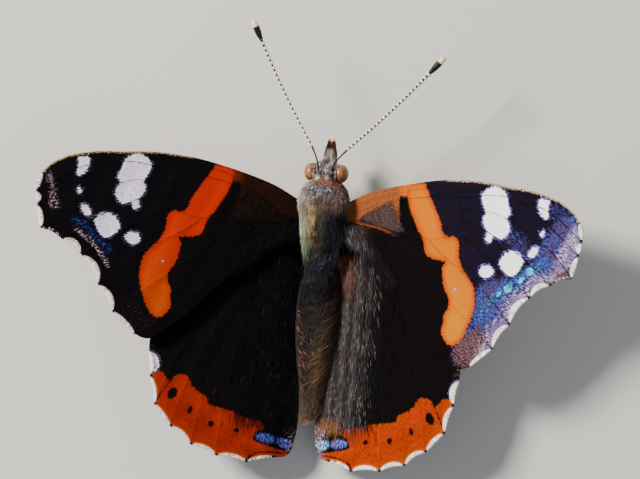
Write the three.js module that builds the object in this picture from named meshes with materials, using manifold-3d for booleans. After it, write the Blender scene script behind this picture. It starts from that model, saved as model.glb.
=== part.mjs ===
// A red admiral butterfly at life size, standing on a flat floor with its wings held open.
// Millimetres: +X is the insect's right, +Y is ahead of its head and +Z is up.
//
// Every place is first measured from the middle of the line that joins the two forewing roots.
// The last lines move the origin to the floor, under the middle of the whole insect.
import * as THREE from "three";
import { mergeVertices } from "three/addons/utils/BufferGeometryUtils.js";
import Module from "manifold-3d";

const wasm = await Module();
wasm.setup();

// Driving dimensions
const GAP = 0.3; // kept between neighbouring pieces
const MEMBRANE = 0.52; // wing thickness between the veins
const VEIN_RISE = 0.17; // how far a vein stands out of each face of the wing
const VEIN_HALF_WIDTH = 0.36;
const WING_ROOT_SIDE = 3.42; // from the middle of the body to a forewing root
const FLOOR = -6.4; // the floor under the forewing roots
const RIGHT = 1;
const LEFT = -1;
const sideName = (side) => (side === RIGHT ? "right" : "left");
const degrees = (value) => (value * Math.PI) / 180;

// Solids: closed three.js geometry to a manifold and back
function solidOf(geometry) {
  const bare = geometry.clone();
  bare.deleteAttribute("normal");
  bare.deleteAttribute("uv");
  const merged = mergeVertices(bare, 1e-4);
  return new wasm.Manifold(
    new wasm.Mesh({
      numProp: 3,
      vertProperties: new Float32Array(merged.attributes.position.array),
      triVerts: new Uint32Array(merged.index.array),
    }),
  );
}

function geometryOf(solid) {
  const mesh = solid.getMesh();
  const geometry = new THREE.BufferGeometry();
  geometry.setAttribute("position", new THREE.BufferAttribute(new Float32Array(mesh.vertProperties), 3));
  geometry.setIndex(new THREE.BufferAttribute(new Uint32Array(mesh.triVerts), 1));
  geometry.computeVertexNormals();
  return geometry;
}

const joined = (solids) => solids.reduce((all, solid) => all.add(solid));

function largestPiece(solid) {
  return solid.decompose().reduce((best, piece) => (piece.volume() > best.volume() ? piece : best));
}

// A closed body from rings of points that share one number of sides, with a point at each end
function skinOverRings(rings, firstTip, lastTip) {
  const sides = rings[0].length;
  const points = [firstTip, ...rings.flat(), lastTip];
  const last = points.length - 1;
  const index = [];
  for (let k = 0; k < sides; k++) {
    const next = (k + 1) % sides;
    index.push(0, 1 + next, 1 + k);
    for (let ring = 0; ring < rings.length - 1; ring++) {
      const here = 1 + ring * sides;
      const there = here + sides;
      index.push(here + k, here + next, there + next, here + k, there + next, there + k);
    }
    const end = 1 + (rings.length - 1) * sides;
    index.push(last, end + k, end + next);
  }
  const geometry = new THREE.BufferGeometry().setFromPoints(points);
  geometry.setIndex(index);
  return geometry;
}

// Body sections, each [ahead, middle height, half width, half height above, half height below]
const THORAX_SECTIONS = [
  [1.6, 0.42, 2.1, 1.55, 1.6],
  [0.8, 0.35, 2.8, 2.1, 2.25],
  [-0.6, 0.1, 3.15, 2.65, 2.8],
  [-2.4, -0.05, 3.05, 2.85, 2.9],
  [-4.4, -0.1, 2.7, 2.6, 2.8],
  [-6.2, -0.3, 2.25, 2.1, 2.4],
  [-7.7, -0.5, 1.8, 1.6, 1.8],
];
const ABDOMEN_SECTIONS = [
  [-8.15, -0.6, 1.6, 1.45, 1.6],
  [-10, -0.95, 2.05, 1.8, 1.9],
  [-13, -1.45, 2.25, 1.9, 1.95],
  [-16, -1.85, 2.15, 1.75, 1.8],
  [-19, -2.15, 1.85, 1.5, 1.5],
  [-22, -2.35, 1.35, 1.1, 1.1],
  [-24.6, -2.45, 0.8, 0.65, 0.7],
];
const HEAD_SECTIONS = [
  [2.05, 0.35, 1.9, 1.4, 1.5],
  [2.6, 0.35, 2.0, 1.45, 1.55],
  [3.3, 0.3, 1.85, 1.4, 1.5],
  [3.95, 0.15, 1.45, 1.15, 1.25],
];
const THORAX_TIPS = { first: 1.8, last: -7.85 };
const ABDOMEN_TIPS = { first: -8.1, last: -25.6 };
const HEAD_TIPS = { first: 2.0, last: 4.45 };
const HEAD_LEAN = 0.3; // the body bends this far to its right between the waist and the head
const bodySide = (ahead) => HEAD_LEAN * THREE.MathUtils.smoothstep(ahead, -12, 3);
const ABDOMEN_SEGMENTS = 8;
const SEGMENT_GROOVE = 0.14;

// A section at any distance ahead, smoothly between the stated ones
function sectionAt(sections, ahead) {
  const curve = new THREE.CatmullRomCurve3(sections.map((s) => new THREE.Vector3(s[2], s[3], s[4])));
  const spine = new THREE.CatmullRomCurve3(sections.map((s) => new THREE.Vector3(0, s[0], s[1])));
  let low = 0;
  let high = 1;
  const falling = sections[0][0] > sections[1][0];
  for (let step = 0; step < 30; step++) {
    const middle = (low + high) / 2;
    if (spine.getPoint(middle).y > ahead === falling) low = middle;
    else high = middle;
  }
  const size = curve.getPoint(low);
  return { middle: spine.getPoint(low).z, halfWidth: size.x, above: size.y, below: size.z };
}

// A rounded body along the ahead axis; grow adds to every radius, and ripple thins it at the joints
function roundBody(sections, tips, { rings, sides, grow = 0, ripple = () => 0 }) {
  const first = sections[0];
  const last = sections[sections.length - 1];
  const loops = [];
  for (let ring = 0; ring < rings; ring++) {
    const ahead = THREE.MathUtils.lerp(first[0], last[0], ring / (rings - 1));
    const { middle, halfWidth, above, below } = sectionAt(sections, ahead);
    const extra = grow - ripple(ahead);
    const loop = [];
    for (let k = 0; k < sides; k++) {
      const turn = (2 * Math.PI * k) / sides;
      const high = (Math.sin(turn) > 0 ? above : below) + extra;
      const side = bodySide(ahead) + (halfWidth + extra) * Math.cos(turn);
      loop.push(new THREE.Vector3(side, ahead, middle + high * Math.sin(turn)));
    }
    loops.push(loop);
  }
  const outward = Math.sign(last[0] - first[0]) * grow;
  const start = new THREE.Vector3(bodySide(first[0]), tips.first - outward, first[1]);
  const end = new THREE.Vector3(bodySide(last[0]), tips.last + outward, last[1]);
  const body = skinOverRings(loops, start, end);
  if (last[0] > first[0]) turnInsideOut(body);
  return body;
}

function turnInsideOut(geometry) {
  const index = geometry.index.array;
  for (let i = 0; i < index.length; i += 3) [index[i + 1], index[i + 2]] = [index[i + 2], index[i + 1]];
}

// The rings of the abdomen sink a little where two of its segments meet
function segmentRipple(ahead) {
  const share = (ahead - ABDOMEN_TIPS.first) / (ABDOMEN_TIPS.last - ABDOMEN_TIPS.first);
  const toJoint = Math.abs(((share * ABDOMEN_SEGMENTS + 0.5) % 1) - 0.5);
  return SEGMENT_GROOVE * Math.max(0, 1 - toJoint / 0.25);
}

function thoraxShape(grow = 0) {
  return solidOf(roundBody(THORAX_SECTIONS, THORAX_TIPS, { rings: 15, sides: 20, grow }));
}

function headShape(grow = 0) {
  return solidOf(roundBody(HEAD_SECTIONS, HEAD_TIPS, { rings: 9, sides: 18, grow }));
}

function abdomenShape(grow = 0) {
  const ripple = grow ? () => 0 : segmentRipple;
  return solidOf(roundBody(ABDOMEN_SECTIONS, ABDOMEN_TIPS, { rings: 33, sides: 16, grow, ripple }));
}

function ellipsoid(radii, centre, detail = [16, 10]) {
  const ball = new THREE.SphereGeometry(1, ...detail);
  ball.rotateX(Math.PI / 2);
  ball.scale(...radii);
  ball.translate(...centre);
  return solidOf(ball);
}

// A limb that bends through named points, with a radius at each of them and a blunt cone on each end
const CAP_REACH = 0.5; // of the end's radius
function limb(points, radii, { steps, sides = 8 }) {
  const stops = points.map((point) => new THREE.Vector3(...point));
  const curve = new THREE.CatmullRomCurve3(stops, false, "centripetal");
  const frames = curve.computeFrenetFrames(steps, false);
  const loops = [];
  for (let step = 0; step <= steps; step++) {
    const at = step / steps;
    const along = curve.getUtoTmapping(at) * (radii.length - 1);
    const before = Math.min(Math.floor(along), radii.length - 2);
    const radius = THREE.MathUtils.lerp(radii[before], radii[before + 1], along - before);
    const centre = curve.getPointAt(at);
    const loop = [];
    for (let k = 0; k < sides; k++) {
      const turn = (2 * Math.PI * k) / sides;
      const out = frames.normals[step].clone().multiplyScalar(Math.cos(turn));
      out.addScaledVector(frames.binormals[step], Math.sin(turn));
      loop.push(centre.clone().addScaledVector(out, radius));
    }
    loops.push(loop);
  }
  const cap = (at, reach) => curve.getPointAt(at).addScaledVector(curve.getTangentAt(at), reach * CAP_REACH);
  const tube = skinOverRings(loops, cap(0, -radii[0]), cap(1, radii[radii.length - 1]));
  const solid = solidOf(tube);
  if (solid.volume() > 0) return solid;
  turnInsideOut(tube);
  return solidOf(tube);
}

// Wings
// A wing is drawn flat, [out from the root, ahead of it], and then raised, swept and set on the body.
const FOREWING = {
  raise: 16,
  drop: 0,
  backSlope: 0,
  camber: (out, ahead) => -0.001 * (out - 14) ** 2 - 0.0022 * Math.min(ahead, 0) ** 2,
  leadingEdge: [[-0.9, -0.45], [0, 0], [2.3, 1.1], [5.2, 2.0], [8.6, 2.8], [12.1, 3.4], [16.2, 3.6],
    [20, 3.3], [23.3, 3.0], [26.2, 2.3], [28.2, 1.25]],
  // The teeth of the outer margin, one at the end of each vein, and how far the fringe between two
  // teeth stands out of the straight line from one to the next
  marginTeeth: [[29.4, 0.1], [29.9, -2.15], [29.6, -3.8], [28.95, -6.5], [26.4, -7.5], [23.95, -9.15],
    [21.7, -12.4], [19.7, -15.4], [16.9, -17.8]],
  marginBays: [0.3, 0.16, 0.16, -0.2, -0.2, -0.26, -0.2, 0.08],
  trailingEdge: [[15.6, -18.1], [14.3, -17.65], [11.4, -15.2], [8.6, -12.2], [6, -9.3], [3.4, -6.9],
    [1.2, -4.9], [-0.9, -3.7]],
  veins: {
    subcosta: [[0.3, -0.5], [5, 1.15], [9.5, 2.3], [13, 3.0]],
    radius: [[0.3, -1.3], [5, 0.35], [10, 1.25], [13.8, 1.5], [17.5, 2.1], [21.2, 1.95], [24.8, -0.2],
      [29.6, -3.8]],
    radiusFirst: [[9.6, 1.2], [13.5, 2.2], [18.2, 3.1]],
    radiusFourth: [[21.2, 1.95], [25.5, 0.8], [29.9, -2.15]],
    cubitus: [[0.3, -2.2], [3.2, -2.6], [7, -3.25], [10.4, -3.5], [12.8, -3.1], [14, -2.3]],
    crossVein: [[14, -2.3], [14.6, -0.9], [14.2, 0.4], [13.8, 1.5]],
    medialFirst: [[14.2, 0.4], [18.6, 0.1], [21.5, -0.9], [24.6, -2.5], [27.4, -4.75], [28.95, -6.5]],
    medialSecond: [[14.6, -0.9], [18.5, -2.3], [22.7, -4.7], [26.4, -7.5]],
    medialThird: [[14, -2.3], [17, -4.1], [19.5, -5.8], [23.95, -9.15]],
    cubitalFirst: [[10.4, -3.5], [12.2, -5.0], [16.9, -8.0], [19.3, -10.0], [21.7, -12.4]],
    cubitalSecond: [[6.2, -3.15], [9.6, -6.9], [14.1, -10.7], [19.7, -15.4]],
    anal: [[0.3, -3.3], [3.4, -5.4], [8.2, -10.1], [12.6, -14.4], [16.9, -17.8]],
  },
};
const INNER_FOLD = 0.75; // how far the hindwing's inner edge folds down beside the abdomen
const HINDWING = {
  raise: 13,
  drop: 1.1,
  backSlope: 1.2,
  camber: (out) => -0.0012 * (out - 6) ** 2 - INNER_FOLD * THREE.MathUtils.smoothstep(1.2 - out, 0, 3.4),
  leadingEdge: [[-1.6, -4.6], [2.5, -5.2], [6, -6.9], [9.6, -9.8], [12.8, -13.2], [14.9, -16.5],
    [15.4, -18.2]],
  marginTeeth: [[15.5, -19.4], [15.05, -22.4], [14.25, -25.7], [12.15, -28.1], [9.6, -30.0], [6.45, -31.0],
    [2.85, -31.4], [-0.3, -30.6]],
  marginBays: [-0.06, -0.1, 0.03, -0.24, -0.18, -0.18, -0.1],
  trailingEdge: [[-1.5, -30.3], [-2.2, -29.4], [-2.65, -26.8], [-2.6, -24.2], [-2.3, -21.5],
    [-1.75, -18.5], [-1.35, -15], [-1.3, -11.5], [-1.75, -9], [-2.1, -7.6]],
  veins: {
    radius: [[0.2, -4.7], [5.5, -8.3], [10.4, -13.3], [13.7, -17.5], [15.5, -19.4]],
    radialSector: [[2.2, -6.2], [7, -11.5], [11.6, -16.7], [15.05, -22.4]],
    medialFirst: [[7, -11.5], [10.2, -16.2], [12.6, -21.2], [14.25, -25.7]],
    medialSecond: [[6.8, -13.8], [9, -18.6], [10.9, -23.6], [12.15, -28.1]],
    crossVein: [[7, -11.5], [6.8, -13.8], [5.6, -15.6]],
    medialThird: [[0.2, -6.2], [2.4, -9.5], [4.3, -12.7], [5.6, -15.6], [7.4, -20.5], [8.8, -25.4],
      [9.6, -30.0]],
    cubitalFirst: [[4.3, -12.7], [5.3, -18.5], [6.2, -25], [6.45, -31.0]],
    cubitalSecond: [[2.4, -9.5], [3, -16], [3.2, -24], [2.85, -31.4]],
    anal: [[-0.1, -7.2], [0.4, -14], [0.3, -22.5], [-0.3, -30.6]],
  },
};
const SWEEP = 1.25; // the left pair is swept forwards by this, and the right pair back
const EDGE_STEP = 1.15;
const TOOTH_HALF_WIDTH = 0.34; // a tooth is blunt, and as wide as this on each side of its vein
const VEIN_STEP = 1.7;
const VEIN_APART = 0.8; // points of two veins keep this share of a vein's half width apart
const FIELD_STEP = 2.3;
const FIELD_APART = 0.55; // and a point between the veins this share of the field's step from all

const flat = ([out, ahead]) => new THREE.Vector2(out, ahead);

function smoothLine(points, step) {
  const curve = new THREE.SplineCurve(points.map(flat));
  return curve.getSpacedPoints(Math.max(2, Math.round(curve.getLength() / step)));
}

// The outer margin runs from tooth to tooth, and the fringe between two teeth is a shallow bay
function toothedMargin({ marginTeeth, marginBays }) {
  const points = [];
  marginTeeth.slice(0, -1).forEach((tooth, k) => {
    const from = flat(tooth);
    const way = flat(marginTeeth[k + 1]).sub(from);
    const outward = new THREE.Vector2(-way.y, way.x).normalize();
    const shoulder = TOOTH_HALF_WIDTH / way.length();
    const parts = Math.max(3, Math.round(way.length() / (EDGE_STEP * 0.75)));
    points.push(from);
    for (let part = 0; part <= parts; part++) {
      const share = THREE.MathUtils.lerp(shoulder, 1 - shoulder, part / parts);
      const depth = marginBays[k] * (0.3 + 0.7 * Math.sin((Math.PI * part) / parts));
      points.push(from.clone().addScaledVector(way, share).addScaledVector(outward, depth));
    }
  });
  points.push(flat(marginTeeth[marginTeeth.length - 1]));
  return points;
}

function outlineOf(wing) {
  const margin = toothedMargin(wing);
  const lead = smoothLine([...wing.leadingEdge, wing.marginTeeth[0]], EDGE_STEP).slice(0, -1);
  const lastTooth = wing.marginTeeth[wing.marginTeeth.length - 1];
  const trail = smoothLine([lastTooth, ...wing.trailingEdge], EDGE_STEP).slice(1);
  return [...lead, ...margin, ...trail];
}

function insideOutline(point, outline) {
  let inside = false;
  outline.forEach((a, i) => {
    const b = outline[(i + 1) % outline.length];
    const crosses = a.y > point.y !== b.y > point.y;
    if (crosses && point.x < ((b.x - a.x) * (point.y - a.y)) / (b.y - a.y) + a.x) inside = !inside;
  });
  return inside;
}

function distanceToLine(point, line) {
  let least = Infinity;
  for (let i = 0; i < line.length - 1; i++) {
    const way = line[i + 1].clone().sub(line[i]);
    const along = THREE.MathUtils.clamp(point.clone().sub(line[i]).dot(way) / way.lengthSq(), 0, 1);
    least = Math.min(least, point.distanceTo(line[i].clone().addScaledVector(way, along)));
  }
  return least;
}

// Delaunay triangles of a set of flat points, each triangle turning counter-clockwise
function triangulate(points) {
  const all = points.map((p, i) => ({
    x: p.x + 1e-5 * Math.sin(i * 12.9898),
    y: p.y + 1e-5 * Math.cos(i * 78.233),
  }));
  const count = all.length;
  const far = 1e4;
  all.push({ x: -far, y: -far }, { x: far, y: -far }, { x: 0, y: far });
  const withCircle = (a, b, c) => {
    const [p, q, r] = [all[a], all[b], all[c]];
    const d = 2 * (p.x * (q.y - r.y) + q.x * (r.y - p.y) + r.x * (p.y - q.y));
    const [pp, qq, rr] = [p, q, r].map((v) => v.x * v.x + v.y * v.y);
    const x = (pp * (q.y - r.y) + qq * (r.y - p.y) + rr * (p.y - q.y)) / d;
    const y = (pp * (r.x - q.x) + qq * (p.x - r.x) + rr * (q.x - p.x)) / d;
    return { corners: [a, b, c], x, y, reach: (p.x - x) ** 2 + (p.y - y) ** 2 };
  };
  let triangles = [withCircle(count, count + 1, count + 2)];
  for (let i = 0; i < count; i++) {
    const isHit = (t) => (all[i].x - t.x) ** 2 + (all[i].y - t.y) ** 2 < t.reach;
    const hit = triangles.filter(isHit);
    triangles = triangles.filter((t) => !isHit(t));
    const edges = hit.flatMap(({ corners: [a, b, c] }) => [[a, b], [b, c], [c, a]]);
    const seen = new Set(edges.map(([a, b]) => a + "_" + b));
    for (const [a, b] of edges) if (!seen.has(b + "_" + a)) triangles.push(withCircle(a, b, i));
  }
  return triangles.map((t) => t.corners).filter((corners) => corners.every((c) => c < count));
}

// The flat points of a wing: its outline, three rows along each vein and an even field between them
function wingPoints(wing) {
  const outline = outlineOf(wing);
  const veins = Object.values(wing.veins).map((vein) => smoothLine(vein, VEIN_STEP));
  const points = outline.map((at) => ({ at, rise: 0 }));
  const apart = VEIN_HALF_WIDTH * VEIN_APART;
  const farFromAll = (at, least) => points.every((p) => p.at.distanceTo(at) >= least);
  const crests = veins.flatMap((vein) => vein.slice(0, -1));
  for (const at of crests) {
    if (farFromAll(at, apart)) points.push({ at, rise: VEIN_RISE });
  }
  veins.forEach((vein, number) => {
    vein.forEach((at, i) => {
      const way = vein[Math.min(i + 1, vein.length - 1)].clone().sub(vein[Math.max(i - 1, 0)]).normalize();
      for (const hand of [-1, 1]) {
        const foot = new THREE.Vector2(-way.y, way.x).multiplyScalar(hand * VEIN_HALF_WIDTH).add(at);
        const offCrest = (other, k) => k === number || distanceToLine(foot, other) > VEIN_HALF_WIDTH * 0.95;
        if (veins.every(offCrest) && insideOutline(foot, outline) && farFromAll(foot, apart)) {
          points.push({ at: foot, rise: 0 });
        }
      }
    });
  });
  const box = new THREE.Box2().setFromPoints(outline);
  const rowStep = (FIELD_STEP * Math.sqrt(3)) / 2;
  for (let row = 0; box.min.y + row * rowStep < box.max.y; row++) {
    for (let column = 0; box.min.x + column * FIELD_STEP < box.max.x; column++) {
      const out = box.min.x + (column + (row % 2) / 2) * FIELD_STEP;
      const at = new THREE.Vector2(out, box.min.y + row * rowStep);
      const clear = farFromAll(at, FIELD_STEP * FIELD_APART);
      if (clear && insideOutline(at, outline)) points.push({ at, rise: 0 });
    }
  }
  return { outline, points };
}

// Where a flat wing point lies on the insect, at a height over the wing's own surface
function onInsect(wing, side, at, height) {
  const sweep = degrees(-side * SWEEP);
  const out = at.x * Math.cos(sweep) - at.y * Math.sin(sweep);
  const ahead = at.x * Math.sin(sweep) + at.y * Math.cos(sweep);
  const raise = degrees(wing.raise);
  const over = wing.camber(at.x, at.y) + height;
  const climb = ahead * Math.tan(degrees(wing.backSlope)) - wing.drop;
  const up = out * Math.sin(raise) + over * Math.cos(raise) + climb;
  const apart = WING_ROOT_SIDE + out * Math.cos(raise) - over * Math.sin(raise);
  return new THREE.Vector3(side * apart, ahead, up);
}

function wingShape(wing, side) {
  const { outline, points } = wingPoints(wing);
  const isInside = ([a, b, c]) => {
    const middle = points[a].at.clone().add(points[b].at).add(points[c].at).divideScalar(3);
    return insideOutline(middle, outline);
  };
  const triangles = triangulate(points.map((p) => p.at)).filter(isInside);
  const count = points.length;
  const half = MEMBRANE / 2;
  const face = (sign) => points.map(({ at, rise }) => onInsect(wing, side, at, sign * (half + rise)));
  const index = [];
  const edges = new Map();
  for (const [a, b, c] of triangles) {
    index.push(a, b, c, count + a, count + c, count + b);
    for (const [from, to] of [[a, b], [b, c], [c, a]]) edges.set(from + "_" + to, [from, to]);
  }
  for (const [from, to] of edges.values()) {
    if (!edges.has(to + "_" + from)) index.push(from, count + from, to, to, count + from, count + to);
  }
  const geometry = new THREE.BufferGeometry().setFromPoints([...face(1), ...face(-1)]);
  geometry.setIndex(index);
  if (side === LEFT) turnInsideOut(geometry);
  return solidOf(geometry);
}

// Feelers, mouth parts and eyes
const EYE = { radii: [0.92, 1.0, 1.15], side: 1.7, ahead: 3.0, up: 0.3 };
const ANTENNA_ROOT = { side: 0.75, ahead: 3.15, up: 1.35 };
const ANTENNA_BENDS = {
  [LEFT]: [[-0.45, 4.2, 1.85], [-0.95, 5.9, 2.45], [-8.6, 20, 5.5]],
  [RIGHT]: [[1.3, 4.2, 1.8], [2.85, 5.75, 2.15], [13.84, 17.25, 3.2]],
};
const ANTENNA_SHAFT = 0.25;
const ANTENNA_CLUB = 0.43;
const CLUB_SHARE = 0.14; // of the feeler's straight length
const ANTENNA_BOW = 0.25; // how far the straight length bends outwards
const PALP = { side: 0.56, ahead: 4.3, up: -0.75, tipSide: 0.37, tipAhead: 7, tipUp: -0.1, radius: 0.41 };
const PALP_LEAN = { root: 0.1, tip: 0.24 }; // both palps bend to the right
const COIL = { ahead: 4.6, up: -1.75, radius: 0.62, tube: 0.26, turns: 0.86, closing: 0.1 };

const eyeShape = (side, grow = 0) =>
  ellipsoid(EYE.radii.map((r) => r + grow), [HEAD_LEAN + side * EYE.side, EYE.ahead, EYE.up], [18, 12]);

// The feeler rises out of the forehead, bends outwards and runs nearly straight to its club
function antennaShape(side) {
  const { side: out, ahead, up } = ANTENNA_ROOT;
  const root = [HEAD_LEAN + side * out, ahead, up];
  const [knee, start, tip] = ANTENNA_BENDS[side];
  const from = new THREE.Vector3(...start);
  const to = new THREE.Vector3(...tip);
  const outward = new THREE.Vector3(to.y - from.y, from.x - to.x, 0).normalize();
  outward.multiplyScalar(side * ANTENNA_BOW);
  const shaft = [0.3, 0.6, 1 - CLUB_SHARE, 1 - CLUB_SHARE * 0.55, 1 - CLUB_SHARE * 0.15, 1];
  const bowed = (share) => Math.sin(Math.PI * share);
  const onShaft = (share) => from.clone().lerp(to, share).addScaledVector(outward, bowed(share));
  const points = [root, knee, start, ...shaft.map((share) => onShaft(share).toArray())];
  const radii = [0.36, 0.28, ...Array(4).fill(ANTENNA_SHAFT), ANTENNA_CLUB * 0.85, ANTENNA_CLUB, 0.24];
  return limb(points, radii, { steps: 30 });
}

function palpShape(side) {
  const { ahead, up, tipAhead, tipUp, radius } = PALP;
  const root = HEAD_LEAN + PALP_LEAN.root + side * PALP.side;
  const tip = HEAD_LEAN + PALP_LEAN.tip + side * PALP.tipSide;
  const line = [
    [root, ahead - 0.9, up - 0.3],
    [root, ahead + 0.1, up - 0.1],
    [root, ahead + 1.2, up + 0.25],
    [tip, tipAhead - 0.5, tipUp - 0.12],
    [tip, tipAhead, tipUp],
  ];
  return limb(line, [radius * 0.8, radius, radius, 0.28, 0.2], { steps: 12 });
}

function proboscisShape() {
  const points = [[HEAD_LEAN, COIL.ahead - 0.9, COIL.up + 0.9]];
  const radii = [COIL.tube];
  const stops = 12;
  for (let stop = 0; stop <= stops; stop++) {
    const turn = Math.PI * 0.75 - (2 * Math.PI * COIL.turns * stop) / stops;
    const radius = COIL.radius - (COIL.closing * stop) / stops;
    points.push([HEAD_LEAN, COIL.ahead + radius * Math.cos(turn), COIL.up + radius * Math.sin(turn)]);
    radii.push(COIL.tube);
  }
  return limb(points, radii, { steps: 30 });
}

// Legs, each from the hip through the knee and the ankle to the end of the foot
const FOOT_RADIUS = 0.27;
const FOOT_UP = FLOOR + 0.2;
const LEG_LINES = {
  foreleg: {
    points: [[0.8, 0.0, -0.9], [0.95, 0.5, -2.1], [1.1, 2.0, -2.75], [0.95, 3.0, -1.8]],
    radii: [0.36, 0.34, 0.3, 0.25],
    steps: 12,
  },
  midleg: {
    points: [[1.3, -2.3, -1.6], [2.0, -2.3, -2.95], [5.5, -0.9, -1.75], [6.1, -0.6, -2.0],
      [7.6, 0.3, FOOT_UP + 0.4], [8.1, 0.6, FOOT_UP], [9.2, 1.05, FOOT_UP], [10.4, 1.5, FOOT_UP]],
    radii: [0.5, 0.46, 0.36, 0.34, 0.28, FOOT_RADIUS, FOOT_RADIUS, 0.25],
    steps: 30,
  },
  hindleg: {
    points: [[1.2, -5.0, -1.6], [1.8, -5.3, -3.1], [4.8, -7.9, -2.5], [5.3, -8.5, -2.75],
      [6.8, -12.4, FOOT_UP + 0.4], [7.0, -13.0, FOOT_UP], [7.5, -15.0, FOOT_UP], [8.0, -17.2, FOOT_UP]],
    radii: [0.5, 0.46, 0.36, 0.34, 0.28, FOOT_RADIUS, FOOT_RADIUS, 0.25],
    steps: 30,
  },
};

function legShape({ points, radii, steps }, side, floorSlab) {
  const line = points.map(([x, y, z]) => [side * x, y, z]);
  return limb(line, radii, { steps }).subtract(floorSlab);
}

function slabUnderFloor() {
  const [spread, depth] = [80, 4];
  const slab = new THREE.BoxGeometry(spread, spread, depth);
  slab.translate(0, 0, FLOOR - depth / 2);
  return solidOf(slab);
}

// Shoulder covers over the forewing roots, raised on the thorax
const SHOULDER_COVER = { radii: [0.8, 1.65, 0.65], side: 2.4, ahead: -0.8, up: 1.85 };

function thoraxWithShoulders(grow = 0) {
  const { radii, side, ahead, up } = SHOULDER_COVER;
  const grown = radii.map((radius) => radius + grow);
  const cover = (hand) => ellipsoid(grown, [bodySide(ahead) + hand * side, ahead, up], [12, 8]);
  return joined([thoraxShape(grow), cover(LEFT), cover(RIGHT)]);
}

const MATERIALS = {
  fur: { color: 0x3a342c, roughness: 0.9, metalness: 0 },
  eye: { color: 0x9a5a22, roughness: 0.35, metalness: 0 },
  wing: { color: 0x15110f, roughness: 0.8, metalness: 0 },
  antenna: { color: 0x2a2621, roughness: 0.6, metalness: 0 },
  leg: { color: 0x5a4a38, roughness: 0.6, metalness: 0 },
};

const insect = new THREE.Group();

function addPiece(name, solid, finish) {
  const material = new THREE.MeshStandardMaterial({ ...MATERIALS[finish], flatShading: true });
  const mesh = new THREE.Mesh(geometryOf(largestPiece(solid)), material);
  mesh.name = name;
  insect.add(mesh);
}

const thoraxRoom = thoraxWithShoulders(GAP);
const abdomenRoom = abdomenShape(GAP);
const headRoom = headShape(GAP);
const floorSlab = slabUnderFloor();

addPiece("thorax", thoraxWithShoulders(), "fur");
addPiece("abdomen", abdomenShape().subtract(thoraxRoom), "fur");
const eyesRoom = joined([LEFT, RIGHT].map((side) => eyeShape(side, GAP)));
addPiece("head", headShape().subtract(thoraxRoom).subtract(eyesRoom), "fur");
addPiece("proboscis", proboscisShape().subtract(headRoom), "antenna");

for (const side of [LEFT, RIGHT]) {
  const end = sideName(side);
  addPiece("eye_" + end, eyeShape(side), "eye");
  addPiece("antenna_" + end, antennaShape(side).subtract(headRoom), "antenna");
  addPiece("palp_" + end, palpShape(side).subtract(headRoom), "fur");
  addPiece("forewing_" + end, wingShape(FOREWING, side).subtract(thoraxRoom), "wing");
  addPiece("hindwing_" + end, wingShape(HINDWING, side).subtract(thoraxRoom).subtract(abdomenRoom), "wing");
  for (const [name, line] of Object.entries(LEG_LINES)) {
    addPiece(name + "_" + end, legShape(line, side, floorSlab).subtract(thoraxRoom), "leg");
  }
}

// The origin is on the floor under the middle of the insect's box
const box = new THREE.Box3().setFromObject(insect);
const middle = box.getCenter(new THREE.Vector3());
insect.position.set(-middle.x, -middle.y, -box.min.z);

export default insect;
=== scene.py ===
# %% [markdown]
# A red admiral butterfly, life size
#
# The solids of the butterfly are already in the scene: four ridged wings, a body in three parts,
# eyes, feelers and legs. They are plain. This lesson dresses them: each wing gets a thin sheet with
# its pattern of scales, the body gets one skin under a coat of hair, and the small parts are
# rounded. Every piece stays exactly where its solid is.

# %% Load the solids
import math

import bmesh
import bpy
import numpy as np
from mathutils import Matrix, Vector


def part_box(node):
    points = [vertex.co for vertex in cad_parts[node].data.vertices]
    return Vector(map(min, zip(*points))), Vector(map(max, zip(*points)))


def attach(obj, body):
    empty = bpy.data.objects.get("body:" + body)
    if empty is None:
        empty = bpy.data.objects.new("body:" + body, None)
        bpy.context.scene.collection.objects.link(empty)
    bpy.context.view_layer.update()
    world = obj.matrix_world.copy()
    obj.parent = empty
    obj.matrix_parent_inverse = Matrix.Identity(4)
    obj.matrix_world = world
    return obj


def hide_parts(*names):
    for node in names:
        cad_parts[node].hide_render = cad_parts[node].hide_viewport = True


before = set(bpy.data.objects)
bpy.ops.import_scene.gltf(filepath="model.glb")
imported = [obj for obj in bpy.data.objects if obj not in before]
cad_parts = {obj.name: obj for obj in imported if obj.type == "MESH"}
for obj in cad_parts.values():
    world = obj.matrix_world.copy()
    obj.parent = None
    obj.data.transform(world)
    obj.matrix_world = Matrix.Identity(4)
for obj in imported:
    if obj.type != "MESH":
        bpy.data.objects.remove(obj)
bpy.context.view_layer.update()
rng = np.random.default_rng(7)
MM = 0.001
LEFT, RIGHT = -1, 1
SIDE_NAMES = {LEFT: "left", RIGHT: "right"}

# %% [markdown]
# One place to measure from
#
# The insect is easiest to describe from the middle of the line between its two forewing roots, in
# millimetres: side (its right is positive), ahead (towards the head) and up. The solids stand with
# their origin on the floor instead, so the abdomen's box says where our zero lies.

# %% The middle of the wing roots
ABDOMEN_END = -25.6
FLOOR = -6.4
low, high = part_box("abdomen")
ZERO = np.array([(low[0] + high[0]) / 2, low[1] - ABDOMEN_END * MM, -FLOOR * MM])


def to_world(points):
    """Insect millimetres to scene metres, for one point or an array of them."""
    return ZERO + np.asarray(points, float) * MM


print("zero of the insect", ZERO.round(5))

# %% [markdown]
# The camera
#
# The photo looks straight down on the open wings, with a long lens, from a little to the insect's
# right. A long focal length keeps the far and near wing tips at one scale, as there. The camera's
# three axes are worked out from two angles: how far it leans to the right, and how far the body
# turns clockwise in the picture.

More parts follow.
